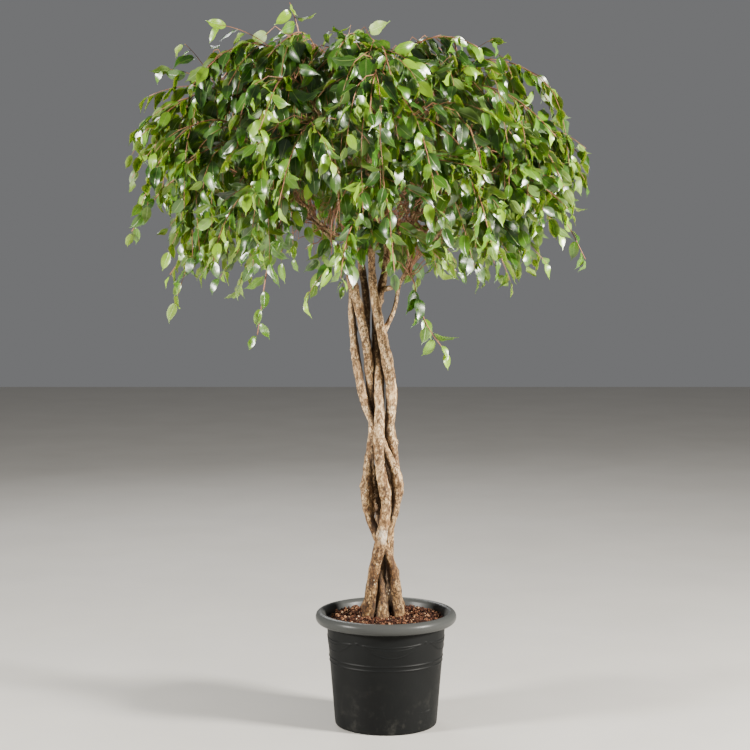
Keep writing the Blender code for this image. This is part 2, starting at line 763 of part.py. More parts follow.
def ring_sprays(draw):
    """The foot and the heading of each spray of the rings, with its length and its stem."""
    sprays = []
    for count, reach, height, rise, length, turn in RINGS:
        for k in range(count):
            angle = math.radians(turn) + 2 * math.pi * (k + draw.uniform(-0.18, 0.18)) / count
            far = reach * draw.uniform(0.9, 1.1)
            outward = Vector((math.cos(angle), math.sin(angle) * CROWN_DEPTH, 0))
            foot = CROWN_MIDDLE + outward * far + Vector((0, 0, height + draw.uniform(-0.02, 0.02)))
            steep = math.radians(rise + draw.uniform(-6, 6))
            heading = (outward.normalized() * math.cos(steep) + Vector((0, 0, math.sin(steep)))).normalized()
            sprays.append((foot, heading, length * draw.uniform(0.9, 1.1), nearest_sector(angle)))
    return sprays


def nearest_sector(angle):
    def off(name):
        return abs((math.degrees(angle) - SECTORS[name] + 180) % 360 - 180)

    return min(SECTORS, key=off)


def outward_of(place):
    flat = place - CROWN_MIDDLE
    flat.z = 0
    return flat.normalized() if flat.length > 0.02 else Vector((0, -1, 0))


def fork_to(growth, stem, limbs, foot, heading):
    """The route of a small limb from the best place on the stem's limbs to a spray's foot, or nothing if all cross."""
    tries = []
    for points, radii in limbs:
        for k in range(2, len(points) - 1):
            run = foot - points[k]
            steep = run.z / max(run.length, 0.001)
            if run.length < 0.05:
                continue
            cost = run.length + (0.25 if steep < 0.15 else 0) + 0.1 * max(0, -heading.dot(run.normalized()))
            tries.append((cost, k, points))
    tries.sort(key=lambda each: each[0])
    for cost, k, points in tries[:12]:
        lead = (points[k + 1] - points[k]).normalized() * 0.5 + (foot - points[k]).normalized() * 0.7
        route = fork_route(points[k], lead, foot, heading)
        radii = between(*FORK_RADII, len(route))
        if not growth.crosses(tube_outline(route, [radius + CLEARANCE for radius in radii]), skip=(stem,)):
            return route, radii
    return None


def grow_wood(stems, draw, growth):
    """Every stem with its limbs, as tubes of points and radii, the twigs routed by hand, and the feet of the others."""
    wood, feet, twigs = {}, [], []
    for name, levels in stems.items():
        points, radii = [Vector(level[:3]) for level in levels], [level[3] for level in levels]
        wood[name] = [(points, radii, STEM_SIDES)]
        growth.keep(name, tube_outline(points, radii))
    limbs = {name: [] for name in stems}
    for name, routes in LIMB_ROUTES.items():
        for route, radii in zip(routes, LIMB_RADII):
            foot, girth = stem_at(stems[name], route[0][2] * MILLIMETRE)
            points, sizes = limb([foot, *metres(route[1:])], (min(radii[0], girth * 0.9), radii[1]))
            limbs[name].append((points, sizes))
            wood[name].append((points, sizes, LIMB_SIDES))
            growth.keep(name, tube_outline(points, sizes))
            leaving = (points[-1] - points[-2]).normalized()
            feet.append((points[-1], leaving, draw.uniform(0.30, 0.38)))
    for stem, route in LONE_ROUTES:
        little, twig = lone_spray(limbs[stem], route)
        sizes = between(*FORK_RADII, len(little))
        wood[stem].append((little, sizes, LIMB_SIDES))
        growth.keep(stem, tube_outline(little, sizes))
        growth.keep("twig", tube_outline(*twig))
        twigs.append(twig)
    for foot, heading, length, stem in ring_sprays(draw):
        found = fork_to(growth, stem, limbs[stem], foot, heading)
        if found:
            route, sizes = found
            wood[stem].append((route, sizes, LIMB_SIDES))
            growth.keep(stem, tube_outline(route, sizes))
            feet.append((route[-1], (route[-1] - route[-2]).normalized(), length))
    return wood, twigs, feet


def grow_twig(growth, foot, heading, length, draw):
    """A drooping twig that crosses nothing, from just off the limb's end."""
    start = foot + heading * GAP
    for attempt in range(40):
        droop = DROOP * draw.uniform(0.8, 1.25) * (1 + 0.05 * attempt)
        points = arch(start, heading, length * (1 - 0.012 * attempt), droop, draw)
        radii = between(TWIG_RADIUS, TWIG_TIP, len(points))
        trial = [points[0] + heading * 0.004, *points[1:]]
        if all(in_crown(point, LEAF_LENGTH * 0.2) for point in points) and not growth.crosses(tube_outline(trial, [radius + CLEARANCE * 1.5 for radius in radii])):
            return points, radii
    return None


def make_wood(wood):
    for name, tubes in wood.items():
        trunk, rest = tubes[0], tubes[1:]
        body = tube(name, trunk[0], trunk[1], trunk[2], FIG)
        for points, radii, sides in rest:
            tube("limb", points, radii, sides, REPEATS)
        finish(join_all(body, REPEATS), name, "bark")


LEAVES_PER_SPRAY = 6
FIRST_LEAF = 0.22
LAST_LEAF = 0.97


def make_spray(growth, name, points, radii, draw):
    """One leafy spray: its twig with leaves hung from it on alternate sides, the last at its tip."""
    body = tube(name, points, radii, TWIG_SIDES, FIG)
    for k in range(LEAVES_PER_SPRAY):
        share = FIRST_LEAF + (LAST_LEAF - FIRST_LEAF) * k / (LEAVES_PER_SPRAY - 1)
        foot, ahead = along(points, share)
        outward = outward_of(foot)
        side = ahead.cross(outward)
        side = side.normalized() if side.length > 0.1 else Vector((-outward.y, outward.x, 0))
        leaf = place_leaf(growth, name, draw, foot, ahead, side * (-1) ** k, outward)
        if leaf:
            add_leaf(leaf, REPEATS)
    finish(join_all(body, REPEATS), name, "leaf")


clear_scene()
FIG = make_collection("potted_weeping_fig")
REPEATS = make_collection("repeats")
CUTTERS = make_collection("cutters")
SECTIONS = {sides: cross_section(sides) for sides in (TWIG_SIDES, LIMB_SIDES, STEM_SIDES)}


def build():
    stems = {name: stem_levels(knots) for name, knots in STEM_KNOTS.items()}
    settle(stems)
    make_pot()
    make_soil(stems)
    growth, draw = Growth(), random.Random(SEED)
    wood, twigs, feet = grow_wood(stems, draw, growth)
    make_wood(wood)
    for foot, heading, length in feet:
        twig = grow_twig(growth, foot, heading, length, draw)
        if twig:
            growth.keep("twig", tube_outline(*twig))
            twigs.append(twig)
    for k, (points, radii) in enumerate(twigs):
        make_spray(growth, f"spray_{k + 1:02d}", points, radii, draw)


build()
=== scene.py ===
"""The looks of a potted weeping fig with a braided trunk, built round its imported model. Metres, +Z up, the
origin at the middle of the pot's foot; the photograph's viewer looks along +Y."""

import itertools
import math
import random

import bpy
import numpy as np
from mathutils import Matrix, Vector
from mathutils.bvhtree import BVHTree
from mathutils.geometry import intersect_point_line


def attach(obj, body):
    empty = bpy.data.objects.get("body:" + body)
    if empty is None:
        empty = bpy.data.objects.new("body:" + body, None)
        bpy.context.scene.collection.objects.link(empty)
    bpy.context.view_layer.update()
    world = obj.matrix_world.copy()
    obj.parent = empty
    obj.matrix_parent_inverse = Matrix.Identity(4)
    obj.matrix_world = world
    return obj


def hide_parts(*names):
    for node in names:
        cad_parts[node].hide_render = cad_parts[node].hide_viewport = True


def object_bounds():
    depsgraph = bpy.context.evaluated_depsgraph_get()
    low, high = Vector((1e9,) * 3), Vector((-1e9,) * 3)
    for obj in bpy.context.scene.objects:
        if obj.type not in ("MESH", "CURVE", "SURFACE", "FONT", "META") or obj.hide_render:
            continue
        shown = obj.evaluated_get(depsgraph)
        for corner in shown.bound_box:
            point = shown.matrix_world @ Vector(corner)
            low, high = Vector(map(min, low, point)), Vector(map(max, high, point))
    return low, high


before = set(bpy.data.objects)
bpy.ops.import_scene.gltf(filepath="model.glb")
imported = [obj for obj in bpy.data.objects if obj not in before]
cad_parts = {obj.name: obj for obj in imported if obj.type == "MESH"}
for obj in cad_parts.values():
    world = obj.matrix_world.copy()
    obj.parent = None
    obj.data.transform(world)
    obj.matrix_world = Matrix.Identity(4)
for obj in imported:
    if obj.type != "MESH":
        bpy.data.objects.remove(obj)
cad_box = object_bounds()

# The view: the photograph was taken from the height of the crown, looking down a little at the pot, through
# a long lens. The plant stands on a plain pale floor under a large soft light at the right, with a weaker
# one at the left.
CAMERA_PLACE = (-0.0273, -5.0, 1.37)
CAMERA_PITCH = math.radians(5.683)
CAMERA_LENS = 98.18
FLOOR_COLOURS = ((0.3, (0.46, 0.445, 0.42)), (0.7, (0.49, 0.475, 0.45)))
WORLD_COLOUR = (0.86, 0.87, 0.89)
WORLD_STRENGTH = 0.20

eye = bpy.data.objects.new("eye", bpy.data.cameras.new("eye"))
bpy.context.scene.collection.objects.link(eye)
eye.location = CAMERA_PLACE
eye.rotation_euler = (math.pi / 2 - CAMERA_PITCH, 0, 0)
eye.data.lens = CAMERA_LENS
bpy.context.scene.camera = eye

world = bpy.data.worlds.new("studio")
world.use_nodes = True
world.node_tree.nodes["Background"].inputs["Color"].default_value = (*WORLD_COLOUR, 1)
world.node_tree.nodes["Background"].inputs["Strength"].default_value = WORLD_STRENGTH
bpy.context.scene.world = world


def soft_light(name, place, aim, size, power, colour):
    """A square area light at a place, turned to face another."""
    lamp = bpy.data.objects.new(name, bpy.data.lights.new(name, "AREA"))
    bpy.context.scene.collection.objects.link(lamp)
    lamp.data.size = size
    lamp.data.energy = power
    lamp.data.color = colour
    lamp.location = place
    lamp.rotation_euler = (Vector(aim) - Vector(place)).to_track_quat("-Z", "Y").to_euler()


soft_light("key", (3.2, -1.5, 1.9), (0.0, 0.0, 1.10), 0.7, 640, (1.0, 0.96, 0.88))
soft_light("fill", (-3.2, -1.5, 1.6), (0.0, 0.0, 1.00), 0.7, 330, (1.0, 0.97, 0.90))
soft_light("rim", (-1.0, 3.2, 2.8), (0.0, 0.0, 1.3), 1.6, 70, (1.0, 1.0, 1.0))


def closed_rings(rows, columns):
    """The four-cornered faces between rings of corners that lie one after another, each closed on itself."""
    row, column = np.meshgrid(np.arange(rows - 1), np.arange(columns), indexing="ij")
    here, beside = row * columns + column, row * columns + (column + 1) % columns
    return np.stack([here, beside, beside + columns, here + columns], axis=-1).reshape(-1, 4)


def fans(rows, columns, first, last):
    """The triangles from two lone corners to the first ring and to the last."""
    here = np.arange(columns)
    beside = (here + 1) % columns
    end = (rows - 1) * columns
    opening = np.stack([np.full(columns, first), beside, here], axis=-1)
    closing = np.stack([np.full(columns, last), here + end, beside + end], axis=-1)
    return np.concatenate([opening, closing])


def copies(faces, count, size):
    """The faces of many copies of a mesh, whose corners come one copy after another, so many to each."""
    return (np.arange(count)[:, None, None] * size + faces).reshape(-1, faces.shape[1])


def make_piece(name, points, face_sets, finishes, marks=None, wraps=None, slots=None):
    """A smooth mesh from an array of corners and arrays of faces, with a named number or a pair of them on
    each corner and a finish number on each face."""
    mesh = bpy.data.meshes.new(name)
    corners = np.concatenate([faces.ravel() for faces in face_sets]).astype(np.int32)
    counts = np.concatenate([np.full(len(faces), faces.shape[1]) for faces in face_sets])
    mesh.vertices.add(len(points))
    mesh.vertices.foreach_set("co", np.ascontiguousarray(points, dtype=np.float32).ravel())
    mesh.loops.add(len(corners))
    mesh.loops.foreach_set("vertex_index", corners)
    mesh.polygons.add(len(counts))
    mesh.polygons.foreach_set("loop_start", (np.cumsum(counts) - counts).astype(np.int32))
    mesh.polygons.foreach_set("use_smooth", np.ones(len(counts), dtype=bool))
    for mark, values in (marks or {}).items():
        mesh.attributes.new(mark, "FLOAT", "POINT").data.foreach_set("value", values.astype(np.float32))
    for wrap, pairs in (wraps or {}).items():
        layer = mesh.uv_layers.new(name=wrap)
        layer.data.foreach_set("uv", pairs[corners].astype(np.float32).ravel())
    for finish in finishes:
        mesh.materials.append(finish)
    if slots is not None:
        mesh.polygons.foreach_set("material_index", slots.astype(np.int32))
    mesh.update(calc_edges=True)
    mesh.validate()
    piece = bpy.data.objects.new(name, mesh)
    bpy.context.scene.collection.objects.link(piece)
    return piece


class Finish:
    """A procedural material: its shader, and short ways to add the nodes that colour and roughen it."""

    def __init__(self, name, roughness, specular=0.5):
        self.material = bpy.data.materials.new(name)
        self.material.use_nodes = True
        self.tree = self.material.node_tree
        self.shader = self.tree.nodes["Principled BSDF"]
        self.shader.inputs["Roughness"].default_value = roughness
        self.shader.inputs["Specular IOR Level"].default_value = specular
        self.place = self.tree.nodes.new("ShaderNodeTexCoord").outputs["Object"]

    def feed(self, socket, value):
        """Joins an input socket to another node's output, or sets it to a number or a colour."""
        if isinstance(value, bpy.types.NodeSocket):
            self.tree.links.new(value, socket)
        else:
            socket.default_value = value

    def node(self, kind, **inputs):
        """A node with its settings, which are written small, and its input sockets, with a capital."""
        made = self.tree.nodes.new(kind)
        for key, value in inputs.items():
            if key[0].islower():
                setattr(made, key, value)
            else:
                self.feed(made.inputs[key.replace("_", " ")], value)
        return made

    def mark(self, name):
        """The number that the mesh keeps on each corner under a name."""
        return self.node("ShaderNodeAttribute", attribute_name=name).outputs["Fac"]

    def split(self, vector=None):
        """The X, Y and Z of a vector, or of the object's place if none is given."""
        return self.node("ShaderNodeSeparateXYZ", Vector=vector or self.place).outputs

    def noise(self, scale, detail=4.0, roughness=0.55, distortion=0.0, place=None):
        """A cloudy number from 0 to 1, on the object's place if no other is given."""
        return self.node("ShaderNodeTexNoise", Vector=place or self.place, Scale=scale, Detail=detail,
                         Roughness=roughness, Distortion=distortion).outputs["Fac"]

    def stretched(self, scale):
        """The place drawn out along the axes, for streaks."""
        return self.node("ShaderNodeMapping", Vector=self.place, Scale=scale).outputs["Vector"]

    def ramp(self, factor, *stops):
        """A colour for each share of a factor, from pairs of place and colour."""
        made = self.node("ShaderNodeValToRGB", Fac=factor)
        elements = made.color_ramp.elements
        while len(elements) < len(stops):
            elements.new(0.5)
        for element, (where, colour) in zip(elements, stops):
            element.position = where
            element.color = (*colour, 1)
        return made.outputs["Color"]

    def step(self, factor, low, high):
        """A number that runs smoothly from 0 at a low value to 1 at a high one."""
        return self.node("ShaderNodeMapRange", Value=factor, From_Min=low, From_Max=high,
                         interpolation_type="SMOOTHSTEP").outputs["Result"]

    def maths(self, operation, first, second=0.0):
        """The result of one sum of two numbers or sockets."""
        made = self.node("ShaderNodeMath", operation=operation)
        self.feed(made.inputs[0], first)
        self.feed(made.inputs[1], second)
        return made.outputs["Value"]

    def blend(self, factor, under, over, way="MIX"):
        """One colour laid over another."""
        made = self.node("ShaderNodeMix", data_type="RGBA", blend_type=way)
        for name, value in (("Factor_Float", factor), ("A_Color", under), ("B_Color", over)):
            socket = next(each for each in made.inputs if each.identifier == name)
            self.feed(socket, (*value, 1) if isinstance(value, tuple) else value)
        return next(each for each in made.outputs if each.identifier == "Result_Color")

    def bump(self, height, distance, strength=1.0, under=None):
        """A surface raised by a height of 0 to 1 times a distance, laid over another such surface if one is
        given."""
        made = self.node("ShaderNodeBump", Height=height, Distance=distance, Strength=strength)
        if under:
            self.tree.links.new(under, made.inputs["Normal"])
        return made.outputs["Normal"]

    def glow(self, weight, reaches, scale):
        """Lets a share of the light pass through a thin blade, each of its colours as far as its reach."""
        self.shader.inputs["Subsurface Weight"].default_value = weight
        self.shader.inputs["Subsurface Radius"].default_value = reaches
        self.shader.inputs["Subsurface Scale"].default_value = scale

    def put(self, **sockets):
        """Joins sockets to the shader, and gives the finished material."""
        for key, value in sockets.items():
            self.tree.links.new(value, self.shader.inputs[key.replace("_", " ")])
        return self.material


def floor_finish():
    """A pale matt floor with a faint cloud of tone."""
    finish = Finish("pale floor", 0.75, 0.3)
    return finish.put(Base_Color=finish.ramp(finish.noise(3.0), *FLOOR_COLOURS))


FLOOR_HALF = 8.0
floor = make_piece(
    "floor",
    np.array([(x, y, 0.0) for x, y in ((-1, -1), (1, -1), (1, 1), (-1, 1))]) * (FLOOR_HALF, FLOOR_HALF, 1),
    [np.array([(0, 1, 2, 3)])],
    [floor_finish()],
)

# The pot is one turned shell of dark satin polypropylene. Its rim is rolled over, its wall tapers to the
# foot and carries two thin ribs under a raised festoon of five swags, and its floor has a channel with
# drain holes.
POT_COLUMNS = 240
RIM_DIAMETER = 0.350
POT_HEIGHT = 0.285
WALL = 0.0035
RIM_RADIUS = RIM_DIAMETER / 2
ROLL_WIDTH = 0.025
ROLL_HEIGHT = 0.029
NECK_RADIUS = 0.1475
FOOT_RADIUS = 0.127
FOOT_CHAMFER = 0.006
RIBS = (0.163, 0.174)
RIB_RISE = 0.0014
RIB_HALF = 0.0018
CHANNEL = (0.066, 0.104)
CHANNEL_RISE = 0.006
CHANNEL_SLOPE = 0.003
DRAINS = 8
DRAIN_RADIUS = 0.007
DRAIN_COLUMNS = 28
SWAGS = 5
FIRST_HOOK = math.radians(-120)
HOOK_HEIGHT = 0.226
SWAG_DROPS = (0.004, 0.012, 0.030)
SWAG_MARGIN = 0.09
SWAG_LAP = 0.02
SWAG_FADE = 0.03
CORD_RISE = 0.0015
CORD_HALF = 0.0013
CLOTH_RISE = 0.0008
STUD_SIZE = 0.0050
STUD_LIFT = 0.003
STUD_RISE = 1.3
STUD_BEVEL = 0.0012


def outer_wall(height):
    """The radius of the outer wall at a height, a straight taper from foot to neck."""
    low, high = FOOT_CHAMFER, POT_HEIGHT - ROLL_HEIGHT
    return FOOT_RADIUS + (NECK_RADIUS - FOOT_RADIUS) * (height - low) / (high - low)


def ribs(height):
    """How far the wall's ribs stand out at a height, each a smooth bell."""
    return sum(RIB_RISE * np.exp(-(((height - rib) / RIB_HALF) ** 2)) for rib in RIBS)


def pot_outline():
    """Radius and height from the middle of the floor inside, up the wall, over the roll and down to the pad
    below."""
    floor_top, neck = CHANNEL_RISE + WALL, POT_HEIGHT - ROLL_HEIGHT
    inside = np.linspace(floor_top + 0.004, neck, 24)
    up = np.stack([outer_wall(inside) - WALL, inside], axis=-1)
    base = np.array([(0.0, floor_top), (0.05, floor_top), (outer_wall(floor_top) - WALL - 0.006, floor_top),
                     (outer_wall(floor_top) - WALL - 0.0015, floor_top + 0.001)])
    turn = np.radians(np.linspace(165, -62, 40))
    roll = np.stack([RIM_RADIUS - ROLL_WIDTH / 2 * (1 - np.cos(turn)),
                     neck + ROLL_HEIGHT / 2 * (1 + np.sin(turn))], axis=-1)
    tucked = np.array([(NECK_RADIUS + 0.004, neck + 0.003), (NECK_RADIUS + 0.0008, neck + 0.0015)])
    heights = np.concatenate([np.linspace(neck - 0.001, 0.150, 96), np.linspace(0.146, FOOT_CHAMFER, 22)])
    down = np.stack([outer_wall(heights) + ribs(heights), heights], axis=-1)
    curl = np.radians(np.linspace(15, 90, 6))
    foot = np.stack([FOOT_RADIUS - FOOT_CHAMFER * (1 - np.cos(curl)),
                     FOOT_CHAMFER * (1 - np.sin(curl))], axis=-1)
    low, high = CHANNEL
    below = np.array([(high + 0.001, 0.0), (high - CHANNEL_SLOPE, CHANNEL_RISE),
                      (low + CHANNEL_SLOPE, CHANNEL_RISE), (low - 0.001, 0.0), (0.03, 0.0), (0.0, 0.0)])
    return np.concatenate([base, up, roll, tucked, down, foot, below])


def festoon(turn, height):
    """How far the festoon stands out of the wall. Between two hooks each cord hangs as a parabola and is a
    bell across it; the cloth between the first cord and the last is a low swelling; at each hook is a
    three-sided stud."""
    span = 2 * math.pi / SWAGS
    share = ((turn - FIRST_HOOK) % span) / span
    along = np.clip((share - SWAG_MARGIN) / (1 - 2 * SWAG_MARGIN), 0, 1)
    sag = 4 * along * (1 - along)
    ends = np.clip((np.minimum(share, 1 - share) - SWAG_MARGIN + SWAG_LAP) / SWAG_FADE, 0, 1)
    below_hook = height - HOOK_HEIGHT
    cords = [CORD_RISE * np.exp(-(((below_hook + drop * sag) / CORD_HALF) ** 2)) for drop in SWAG_DROPS]
    top, bottom = HOOK_HEIGHT - SWAG_DROPS[0] * sag, HOOK_HEIGHT - SWAG_DROPS[-1] * sag
    depth = np.clip((top - height) / np.maximum(top - bottom, 1e-6), 0, 1)
    cloth = CLOTH_RISE * 4 * depth * (1 - depth) * sag
    away = np.minimum(share, 1 - share) * span * outer_wall(HOOK_HEIGHT)
    lift = height - HOOK_HEIGHT - STUD_LIFT
    inside = STUD_SIZE * 0.5 - np.maximum(lift, away * 0.87 - lift * 0.5)
    stud = CORD_RISE * STUD_RISE * np.clip(inside / STUD_BEVEL, 0, 1)
    return np.maximum(np.maximum.reduce(cords) * ends, np.maximum(cloth * ends, stud))


def turned(outline, columns, relief=None):
    """A profile of radius and height carried round the upright axis, closed at both ends on the axis. A
    relief moves the corners outwards by a formula of turn and height."""
    turn = np.linspace(0, 2 * math.pi, columns, endpoint=False)[None, :]
    radius, height = outline[1:-1, :1], outline[1:-1, 1:]
    shown = radius + (relief(turn, height, radius) if relief else 0.0)
    rings = np.stack(np.broadcast_arrays(shown * np.cos(turn), shown * np.sin(turn), height), axis=-1)
    rings = rings.reshape(-1, 3)
    rows = len(outline) - 2
    poles = np.array([(0, 0, outline[0, 1]), (0, 0, outline[-1, 1])])
    points = np.concatenate([rings, poles])
    faces = [closed_rings(rows, columns)[:, ::-1], fans(rows, columns, len(rings), len(rings) + 1)[:, ::-1]]
    return points, faces


def pot_relief(turn, height, radius):
    """The festoon, on the outer wall only."""
    outside = radius > outer_wall(height) - WALL / 2
    return np.where(outside & (height < POT_HEIGHT - ROLL_HEIGHT), festoon(turn, height), 0.0)


def pot_finish():
    """Dark grey plastic with a fine moulded grain, a breath of dust low down, a few pale scuffs, and a
    smoother rim painted lighter for the light that its top catches.
    """
    finish = Finish("anthracite pot plastic", 0.42, 0.12)
    cloud = finish.noise(9.0, 5.0)
    body = finish.ramp(cloud, (0.25, (0.0030, 0.0034, 0.0036)), (0.75, (0.0050, 0.0056, 0.0058)))
    height = finish.split()["Z"]
    dust = finish.maths("MULTIPLY", finish.step(finish.noise(30.0, 6.0, 0.7), 0.50, 0.75),
                        finish.step(height, 0.16, 0.0))
    dusty = finish.blend(finish.maths("MULTIPLY", dust, 0.16), body, (0.12, 0.115, 0.10))
    streak = finish.noise(1.0, 3.0, 0.6, 0.4, finish.stretched((18.0, 18.0, 120.0)))
    patch = finish.step(finish.noise(6.0, 2.0), 0.60, 0.70)
    scuff = finish.maths("MULTIPLY", finish.step(streak, 0.64, 0.72), patch)
    colour = finish.blend(finish.maths("MULTIPLY", scuff, 0.35), dusty, (0.15, 0.155, 0.155))
    # The rolled rim: painted light, a paler colour for the light that its top catches, and a lower roughness.
    lit_and_smoothed_rim = finish.step(height, POT_HEIGHT - ROLL_HEIGHT - 0.003, POT_HEIGHT - ROLL_HEIGHT + 0.003)
    colour = finish.blend(finish.maths("MULTIPLY", lit_and_smoothed_rim, 0.25), colour, (0.16, 0.165, 0.16))
    rough = finish.node("ShaderNodeMapRange", Value=finish.noise(45.0, 4.0), To_Min=0.44, To_Max=0.58)
    rough = finish.maths("SUBTRACT", rough.outputs["Result"], finish.maths("MULTIPLY", lit_and_smoothed_rim, 0.18))
    grain = finish.bump(finish.noise(900.0, 2.0), 0.00008, 0.5)
    return finish.put(Base_Color=colour, Roughness=rough, Normal=finish.bump(cloud, 0.0004, 0.3, grain))


def drill_drains(pot):
    """Cuts the drain holes through the channel of the floor, and keeps the result as the pot's own mesh."""
    reach = sum(CHANNEL) / 2
    turn = 2 * math.pi * np.arange(DRAINS) / DRAINS
    middles = np.stack([reach * np.cos(turn), reach * np.sin(turn), np.full(DRAINS, CHANNEL_RISE)], axis=-1)
    rows = np.array([(0.0, -0.02), (DRAIN_RADIUS, -0.02), (DRAIN_RADIUS, 0.02), (0.0, 0.02)])
    one, faces = turned(rows[::-1], DRAIN_COLUMNS)
    points = (middles[:, None] + one[None]).reshape(-1, 3)
    drills = make_piece("drills", points, [copies(each, DRAINS, len(one)) for each in faces], [])
    cut = pot.modifiers.new("drains", "BOOLEAN")
    cut.operation = "DIFFERENCE"
    cut.solver = "EXACT"
    cut.object = drills
    bpy.context.view_layer.update()
    kept = bpy.data.meshes.new_from_object(pot.evaluated_get(bpy.context.evaluated_depsgraph_get()))
    pot.modifiers.clear()
    pot.data = kept
    bpy.data.objects.remove(drills, do_unlink=True)


points, faces = turned(pot_outline(), POT_COLUMNS, pot_relief)
pot = make_piece("pot_shell", points, faces, [pot_finish()])
drill_drains(pot)
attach(pot, "root")
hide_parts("pot")


# The trunk is five living stems braided into a cage while they were young: they cross in two tight bundles
# and bow apart between them. Bark is pale, mottled and knobbly, and has grown together where they press.
# Each knot of a route is height, across and depth in millimetres, with the stem's radius there.
PLANT_HEIGHT = 1.770
CROWN_SPAN = 1.150
TWIG_ROOM = 0.0124
GAP = 0.0003
SEED = 22
SOIL_LEVEL = 0.266
STEM_KNOTS = {
    "stem_front": [
        (200, -44, -18, 14), (262, -45, -22, 14), (325, -40, -25, 13.5), (390, -30, -28, 13),
        (465, -13, -31, 12), (540, 0, -31, 12), (580, 2, -30, 12), (635, -15, -32, 12),
        (680, -19, -33, 12), (740, -18, -34, 12), (785, -15, -28, 12), (850, -19, -16, 11.5),
        (915, -22, 2, 11), (980, -24, 16, 10.5), (1045, -24, 22, 10), (1080, -14, 22, 9.5),
        (1120, -2, 22, 9.5),
    ],
    "stem_right": [
        (200, 16, 20, 12), (292, 13, 18, 12), (358, 11, 24, 11), (445, 9, 31, 9.5), (510, 9, 27, 10),
        (575, 20, 14, 10.5), (625, 25, 6, 10.5), (687, 15, 0, 10), (726, 7, -18, 10.5), (755, 5, -24, 11),
        (790, 14, -26, 11.5), (850, 13, -26, 12), (912, 2, -24, 12), (968, -10, -20, 12),
        (1035, -25, -14, 11), (1087, -33, -10, 10.5), (1140, -35, -8, 10),
    ],
    "stem_left": [
        (200, -3, -44, 13), (264, -6, -40, 13), (314, -11, -16, 12), (375, -13, -2, 11),
        (438, -5, 10, 9.5), (488, 9, 6, 9.5), (540, 22, -10, 11.5), (595, 32, -18, 12), (644, 24, -18, 12),
        (684, 2, -14, 10), (735, -22, -10, 9.5), (770, -40, -14, 9.5), (807, -54, -16, 9.5),
        (850, -64, -14, 9.5), (922, -74, -8, 9), (983, -82, -2, 8.5), (1035, -84, 8, 8.5),
        (1080, -81, 16, 8), (1130, -89, 20, 7.5),
    ],
    "stem_middle": [
        (200, 31, -14, 14.5), (263, 30, -12, 14.5), (318, 27, -12, 14), (398, 15, -10, 12),
        (448, -5, -10, 9.5), (476, -25, -11, 10), (514, -42, -14, 10.5), (565, -49, -16, 11),
        (620, -48, -14, 11), (682, -37, 0, 10), (732, -29, 12, 9.5), (772, -31, 10, 9.5),
        (823, -35, 0, 10), (886, -37, -12, 10), (936, -46, -18, 10), (985, -55, -20, 10),
        (1035, -64, -20, 11), (1082, -81, -18, 11.5), (1130, -89, -18, 10.5),
    ],
    "stem_back": [
        (200, -28, 16, 12), (277, -30, 16, 12), (355, -25, 18, 11), (445, -13, 28, 9.5),
        (484, -15, 26, 9.5), (560, -17, 20, 10), (635, -15, 18, 10), (697, -5, 16, 9.5), (735, 0, 12, 9.5),
        (784, -13, 12, 9.5), (846, -27, 14, 9.5), (909, -42, 8, 9.5), (971, -49, 4, 9), (1027, -48, 6, 9),
        (1061, -46, 8, 9), (1105, -55, 10, 9), (1150, -64, 12, 8.5),
    ],
}
MILLIMETRE = 0.001
STEM_STEP = 0.030
STEM_SINK = 0.200
STEM_CLEARANCE = 0.0010
SETTLE_ROUNDS = 120
PUSH_ACROSS = 0.5
LEAST_PUSH = 0.3
EASE_SHARES = (0.02, 0.12)


def cubic(start, leaving, end, arriving, share):
    """The place at a share of the way on the cubic that has the given ends and the given slopes there."""
    square, cube = share**2, share**3
    return (
        start * (2 * cube - 3 * square + 1)
        + leaving * (cube - 2 * square + share)
        + end * (3 * square - 2 * cube)
        + arriving * (cube - square)
    )


def hermite(knots, places, where):
    """A smooth value at a place along knots, by a cubic between neighbours with mean slopes at each."""
    last = len(places) - 1
    k = max(0, min(last - 1, sum(place <= where for place in places) - 1))
    span = places[k + 1] - places[k]
    share = (where - places[k]) / span

    def slope(i):
        low, high = max(0, i - 1), min(last, i + 1)
        return (knots[high] - knots[low]) / (places[high] - places[low]) * span

    return cubic(knots[k], slope(k), knots[k + 1], slope(k + 1), share)


def stem_levels(knots):
    """A stem's centres and radii at even heights from its foot in the soil to its top."""
    heights = [knot[0] * MILLIMETRE for knot in knots]
    top = heights[-1]
    count = round((top - STEM_SINK) / STEM_STEP)
    levels = []
    for k in range(count + 1):
        height = STEM_SINK + STEM_STEP * k
        across, depth, radius = (
            hermite([knot[i] * MILLIMETRE for knot in knots], heights, min(height, top)) for i in (1, 2, 3)
        )
        levels.append([across, depth, height, radius])
    return levels


def settle(stems):
    """Pushes the stems apart, more in depth than across, until they only touch where they cross. The last
    rounds push without smoothing, so that nothing is left overlapping."""
    pairs = list(itertools.combinations(stems.values(), 2))
    for turn in range(SETTLE_ROUNDS):
        for one, two in pairs:
            for level in range(min(len(one), len(two)) - 1):
                for share in (0.0, 1 / 3, 2 / 3):
                    part_pair(one, two, level, share)
        if turn < SETTLE_ROUNDS / 2:
            for levels in stems.values():
                ease(levels)


